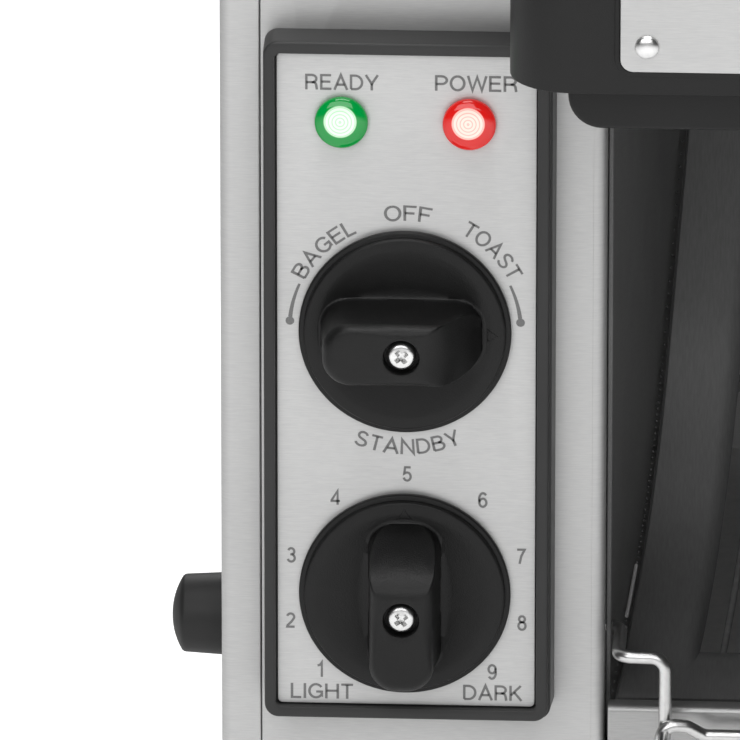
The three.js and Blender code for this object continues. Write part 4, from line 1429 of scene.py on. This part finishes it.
def makeSlide():
    # two side bands, a foot strip and a head sheet round the wire opening, all one folded sheet
    line = denseLine(slideLine(), 7)
    normals = slideNormals(line)
    half = chute["sheet"] / 2
    columns = []
    for (w, z), n in zip(line, normals):
        left = chuteInset(w) + 2.4
        inner = chuteInset(w) + chute["band"]
        us = [left, left + 0.5, inner - 3.4, inner - 1.9, inner - 0.7, inner]
        rolled = 1 if chute["open"][0] < w < chute["open"][1] else 0
        lift = [-0.7, 0, 0, -0.5 * rolled, -1.7 * rolled, -3.4 * rolled]
        us += [across(u) for u in us[::-1]]
        lift += lift[::-1]
        columns.append([(u, w + n[0] * (half + k), z + n[1] * (half + k)) for u, k in zip(us, lift)])
    verts = [p for c in columns for p in c]
    faces = []
    for r in range(len(columns) - 1):
        w = (line[r][0] + line[r + 1][0]) / 2
        for i in range(11):
            if i == 5 and chute["open"][0] < w < chute["open"][1]:
                continue
            a = r * 12 + i
            faces.append((a, a + 1, a + 13, a + 12))
    piece = newPiece("toast_slide_sheet", verts, faces, "slideCoat", 50)
    return finished(thickened(piece, chute["sheet"], 0), "toast_slide")


def makeGrille():
    count = 11
    line = [(w, z) for w, z in denseLine(slideLine(), 4) if 13 < w < 157]
    normals = slideNormals(line)
    under = 3.0
    paths = []
    for k in range(count):
        share = k / (count - 1)
        path = []
        for (w, z), n in zip(line, normals):
            left = chuteInset(w) + chute["band"] + 6
            path.append((left + (across(left) - left) * share, w - n[0] * under, z - n[1] * under))
        paths.append(path)
    welds = [path[3] for path in paths]
    for spot in (1, len(line) // 2, len(line) - 4):
        (w, z), n = line[spot], normals[spot]
        left = chuteInset(w) + chute["band"] - 6
        deep = under + 1.9
        paths.append([(left, w - n[0] * deep, z - n[1] * deep),
                      (across(left), w - n[0] * deep, z - n[1] * deep)])
    finished(scatter("grille_welds", fittings["speck"], welds, (-70, 0, 0), "coatedWire", 3.4), body="case")
    return finished(wires("slide_grille_wires", paths, 0.9, "coatedWire", 10), "slide_grille")


def makeEdgeHighlight():
    # light wires where the slide meets the left and right walls, a painted highlight for the seam's edge catching
    # light, with small specks along the seams
    spots = []
    line = denseLine(slideLine(), 3.3)
    for (w, z), n in zip(line, slideNormals(line)):
        if 9 < w < 150:
            for at in (lambda u: u, across):
                spots.append((at(chuteInset(w) + 1.0), w + n[0] * 0.5, z + n[1] * 0.5))
    specks = scatter("slide_edge_stitches", fittings["speck"], spots, (-35, 0, 0), "coatedWire", 0.5)
    finished(specks, body="case")
    thin, thick = [], []
    for at in (lambda u: u, across):
        for paths, start, end in ((thin, 32, 51), (thick, 27, 31)):
            part = [(w, z) for w, z in denseLine(slideLine(), 2) if start < w < end]
            paths.append([(at(chuteInset(w) + 1.0), w - 0.4, z + 1.0) for w, z in part])
    # painted highlight: light plate-steel wires stand in for the seam's lit edge
    pieces = [wires("thin", thin, 0.45, "brushedPlate", 8), wires("thick", thick, 0.7, "brushedPlate", 8)]
    return finished(joined("slide_edge_wires", pieces), body="case")


def makeLip():
    low, high = boxOf("discharge_lip")
    sheet, top = chute["sheet"], high.z
    half = sheet / 2
    line = [(half, low.z), (half, top - half), (high.y, top - half - 0.3)]
    outline = sheetOutline(line, sheet, 0.9, 8)
    leaf = prism("leaf", outline, "side", low.x, high.x, "lipSteel")
    return finished(withBevel(leaf, 0.2, 2), "discharge_lip")


rackLook = {
    "side": 107.3, "arm": 95.9, "wire": 1.6, "slim": 1.2, "pitch": 18, "bend": 3.4, "hangY": -5, "drop": 72.5,
    "shelf": 70, "stop": 18
}


def makeRack():
    start, _ = boxOf("toast_rack")
    front = start.y + rackLook["wire"]
    pivot = next(j for j in frame["joints"] if j["name"] == "rack_fold")["pos_m"]
    pivotW, pivotZ = (pivot[1] - caseFront) / mm, pivot[2] / mm
    hang, drop, shelf, side = rackLook["hangY"], rackLook["drop"], rackLook["shelf"], rackLook["side"]
    stop = shelf + rackLook["stop"]
    paths = []
    for at in (lambda u: u, across):
        arm = rackLook["arm"]
        corners = [(start.x, pivotW, pivotZ), (arm, pivotW, pivotZ), (arm, hang + 0.6, pivotZ),
                   (side, hang, pivotZ), (side, hang, drop), (side, front, shelf), (side, front, stop)]
        paths.append(roundCorners([(at(u), w, z) for u, w, z in corners], rackLook["bend"], 10))
    low = drop - 0.9
    rear = [(side - 1.4, hang - 3.0, low - 3.4), (side - 0.2, hang - 3.3, low + 3.6),
            (side + 5.4, hang - 2.2, low + 2.8), (side + 9.4, hang - 0.8, low)]
    rear += [(across(u), w, z) for u, w, z in rear[::-1]]
    paths.append(roundCorners(rear, rackLook["bend"], 10))
    for w, z in ((-50, shelf + 1), (front, stop)):
        paths.append([(side, w, z), (across(side), w, z)])
    heavy = wires("heavy", paths, rackLook["wire"], "chromeWire", 20)
    slim = []
    for k in range(-5, 6):
        u = chamberCentre + rackLook["pitch"] * k
        corners = [(u, hang - 1, drop - 2), (u, front, shelf - 0.5), (u, front, stop)]
        slim.append(roundCorners(corners, 3, 8))
    light = wires("light", slim, rackLook["slim"], "chromeWire", 12)
    return finished(joined("toast_rack_wires", [heavy, light]), "toast_rack")


def makeTray():
    return refined("crumb_tray", 0.25, "brushedFront")


makeChuteWall("left_chute_wall", False)
makeChuteWall("right_chute_wall", True)
makeSlide()
makeGrille()
makeEdgeHighlight()
makeLip()
makeRack()
makeTray()
print("chute and rack done")

# conveyor

beltLook = {"pitch": 11.6, "strand": 0.75, "cells": 15, "inset": 2.0}


def makeBelt():
    low, high = boxOf("wire_belt")
    frontY = centreOf("idler_shaft").y
    rearY = centreOf("drive_shaft").y
    axle = centreOf("drive_shaft").z
    radius = (high.z - low.z) / 2 - 1.5
    ends = arcPoints(rearY, axle, radius, -90, 90, 24) + arcPoints(frontY, axle, radius, 90, 270, 24)
    loop = [(chamberCentre, a, b) for a, b in ends]
    length = 2 * (rearY - frontY) + 2 * math.pi * radius
    count = round(length / beltLook["pitch"])
    pitch = length / count
    width = high.x - low.x - 2 * beltLook["inset"]
    cells = beltLook["cells"]
    path = []
    for k in range(cells):
        x0 = -width / 2 + width * k / cells
        x1 = -width / 2 + width * (k + 1) / cells
        y = (0.46 if k % 2 else -0.46) * pitch
        path += [(x0 + 0.4, y, 0.6 if k % 2 else -0.5), (x1 - 0.4, y, 0.6 if k % 2 else -0.5)]
    curve = bpy.data.curves.new("strand", "CURVE")
    curve.dimensions = "3D"
    spline = curve.splines.new("POLY")
    spline.points.add(len(path) - 1)
    for point, spot in zip(spline.points, path):
        point.co = (*[c * mm for c in spot], 1)
    strand = runTree(linked("strand", curve), trees["wire"], {"Radius": beltLook["strand"] * mm, "Sides": 6},
                     "chromeWire")
    piece = runTree(curveObject("wire_belt_strands", [loop], True), trees["belt"],
                    {"Strand": strand, "Count": count}, "chromeWire")
    bpy.data.objects.remove(strand)
    return finished(piece, "wire_belt")


def makeRollers():
    # belt wheels in a row on one sleeve
    count, width, sleeve = 6, 8, 10
    for node in ("drive_roller", "idler_roller"):
        low, high = boxOf(node)
        centre = centreOf(node)
        rim = (high.z - low.z) / 2
        pitch = (high.x - low.x - width) / (count - 1)
        profile = [(6.2, low.x)]
        for k in range(count):
            start = low.x + pitch * k
            end = start + width
            profile += [(sleeve, start), (rim - 4, start), (rim - 3.4, start + 1.6), (rim - 0.8, start + 1.6),
                        (rim, start + 2.4)]
            profile += [(rim, end - 2.4), (rim - 0.8, end - 1.6), (rim - 3.4, end - 1.6), (rim - 4, end),
                        (sleeve, end)]
        profile.append((6.2, high.x))
        verts, faces = turnedMesh(profile, "x", (0, centre.y, centre.z), 44)
        faces = faces[:-2]
        last = (len(profile) - 1) * 44
        faces += [(i, (i + 1) % 44, last + (i + 1) % 44, last + i) for i in range(44)]
        finished(newPiece(node + "_wheels", verts, faces, "innerSteel"), node)


def makeShafts():
    for node in ("drive_shaft", "idler_shaft"):
        low, high = boxOf(node)
        centre = centreOf(node)
        radius = (high.z - low.z) / 2
        profile = [(0, low.x), (radius - 0.6, low.x), (radius, low.x + 0.6), (radius, high.x - 0.6),
                   (radius - 0.6, high.x), (0, high.x)]
        finished(turned(node + "_bar", profile, "x", (0, centre.y, centre.z), "innerSteel", 40), node)


def makeHeaters():
    for node in ("upper_front_heater", "upper_rear_heater", "lower_front_heater", "lower_rear_heater"):
        low, high = boxOf(node)
        centre = centreOf(node)
        tube = [(0, low.x + 1), (3.7, low.x + 1), (3.7, high.x - 1), (0, high.x - 1)]
        finished(turned(node + "_tube", tube, "x", (0, centre.y, centre.z), "heaterSheath", 32), node)
        ends = []
        for start, way in ((low.x, 1), (high.x, -1)):
            cap = [(0, 0), (3.6, 0), (3.95, 0.5), (3.95, 9), (3.6, 9.6), (0, 9.6)]
            ends.append(turned("cap", [(r, start + way * h) for r, h in cap], "x", (0, centre.y, centre.z),
                               "ceramic", 32))
        finished(joined(node + "_ends", ends), body="case")


makeBelt()
makeRollers()
makeShafts()
makeHeaters()
for side in ("left", "right"):
    refined(side + "_conveyor_plate", 0.2, "brushedFront")
for node in ("upper_reflector", "lower_reflector", "motor_bracket"):
    refined(node, 0.15, "innerSteel")
for node in ("gear_motor", "drive_sprocket", "motor_sprocket", "drive_chain", "speed_control"):
    refined(node, 0.3, "castMetal")
for node in ("mode_switch", "circuit_breaker", "fan_housing", "fan_rotor"):
    refined(node, 0.3, "innerPlastic")
for node in ("drive_left_bush", "drive_right_bush", "idler_left_bush", "idler_right_bush"):
    refined(node, 0.2, "bronze")
print("conveyor done")

# rear services


def makeGland():
    low, high = boxOf("cord_gland")
    centre = centreOf("cord_gland")
    start, end = low.y, high.y
    nutStart = end - 11.7
    barrel = [(5, start), (8.4, start), (8.4, nutStart), (8.9, nutStart), (8.9, end - 6), (8.6, end - 3),
              (7.4, end - 0.4),
              (6.8, end), (5.2, end), (5, end - 0.5), (5, start)]
    verts, faces = turnedMesh(barrel, "y", (centre.x, 0, centre.z), 48)
    body = newPiece("barrel", verts, faces[:-2], "innerPlastic")
    hexagon = [(centre.x + 13 * math.cos(math.radians(60 * k)),
                centre.z + 13 * math.sin(math.radians(60 * k))) for k in range(6)]
    nut = plate("nut", hexagon, [circle(centre.x, centre.z, 8.7)], "front", nutStart, nutStart + 5,
                "innerPlastic", 0.5)
    return finished(joined("cord_gland_moulding", [body, nut]), "cord_gland")


def makeFanGuard():
    centre = centreOf("fan_housing")
    back = boxOf("rear_cover")[1].y + 1.6
    rings = [[(a, back, b) for a, b in circle(centre.x, centre.z, r, 48)] for r in (8, 15, 22, 29)]
    loops = wires("loops", rings, 0.8, "chromeWire", 10, cyclic=True)
    spokes = []
    for k in range(4):
        a = math.radians(45 + 90 * k)
        spokes.append([(centre.x + 6 * math.cos(a), back + 1, centre.z + 6 * math.sin(a)),
                       (centre.x + 34 * math.cos(a), back + 1, centre.z + 34 * math.sin(a))])
    bars = wires("spokes", spokes, 0.8, "chromeWire", 10)
    return finished(joined("fan_guard", [loops, bars]), body="case")


def makeResetButton():
    low, high = boxOf("reset_button")
    centre = centreOf("reset_button")
    profile = [(0, low.y + 0.4), (5, low.y + 0.4), (5, high.y - 1.4)]
    profile += [(3.6 + 1.4 * c, high.y - 1.4 + 1.4 * s) for c, s in quarterTurn(6, 1)] + [(0, high.y)]
    return finished(turned("reset_button_cap", profile, "y", (centre.x, 0, centre.z), "redPlastic", 40),
                    "reset_button")


makeGland()
makeFanGuard()
makeResetButton()
for fitting in fittings.values():
    bpy.data.objects.remove(fitting)
print("rear done")
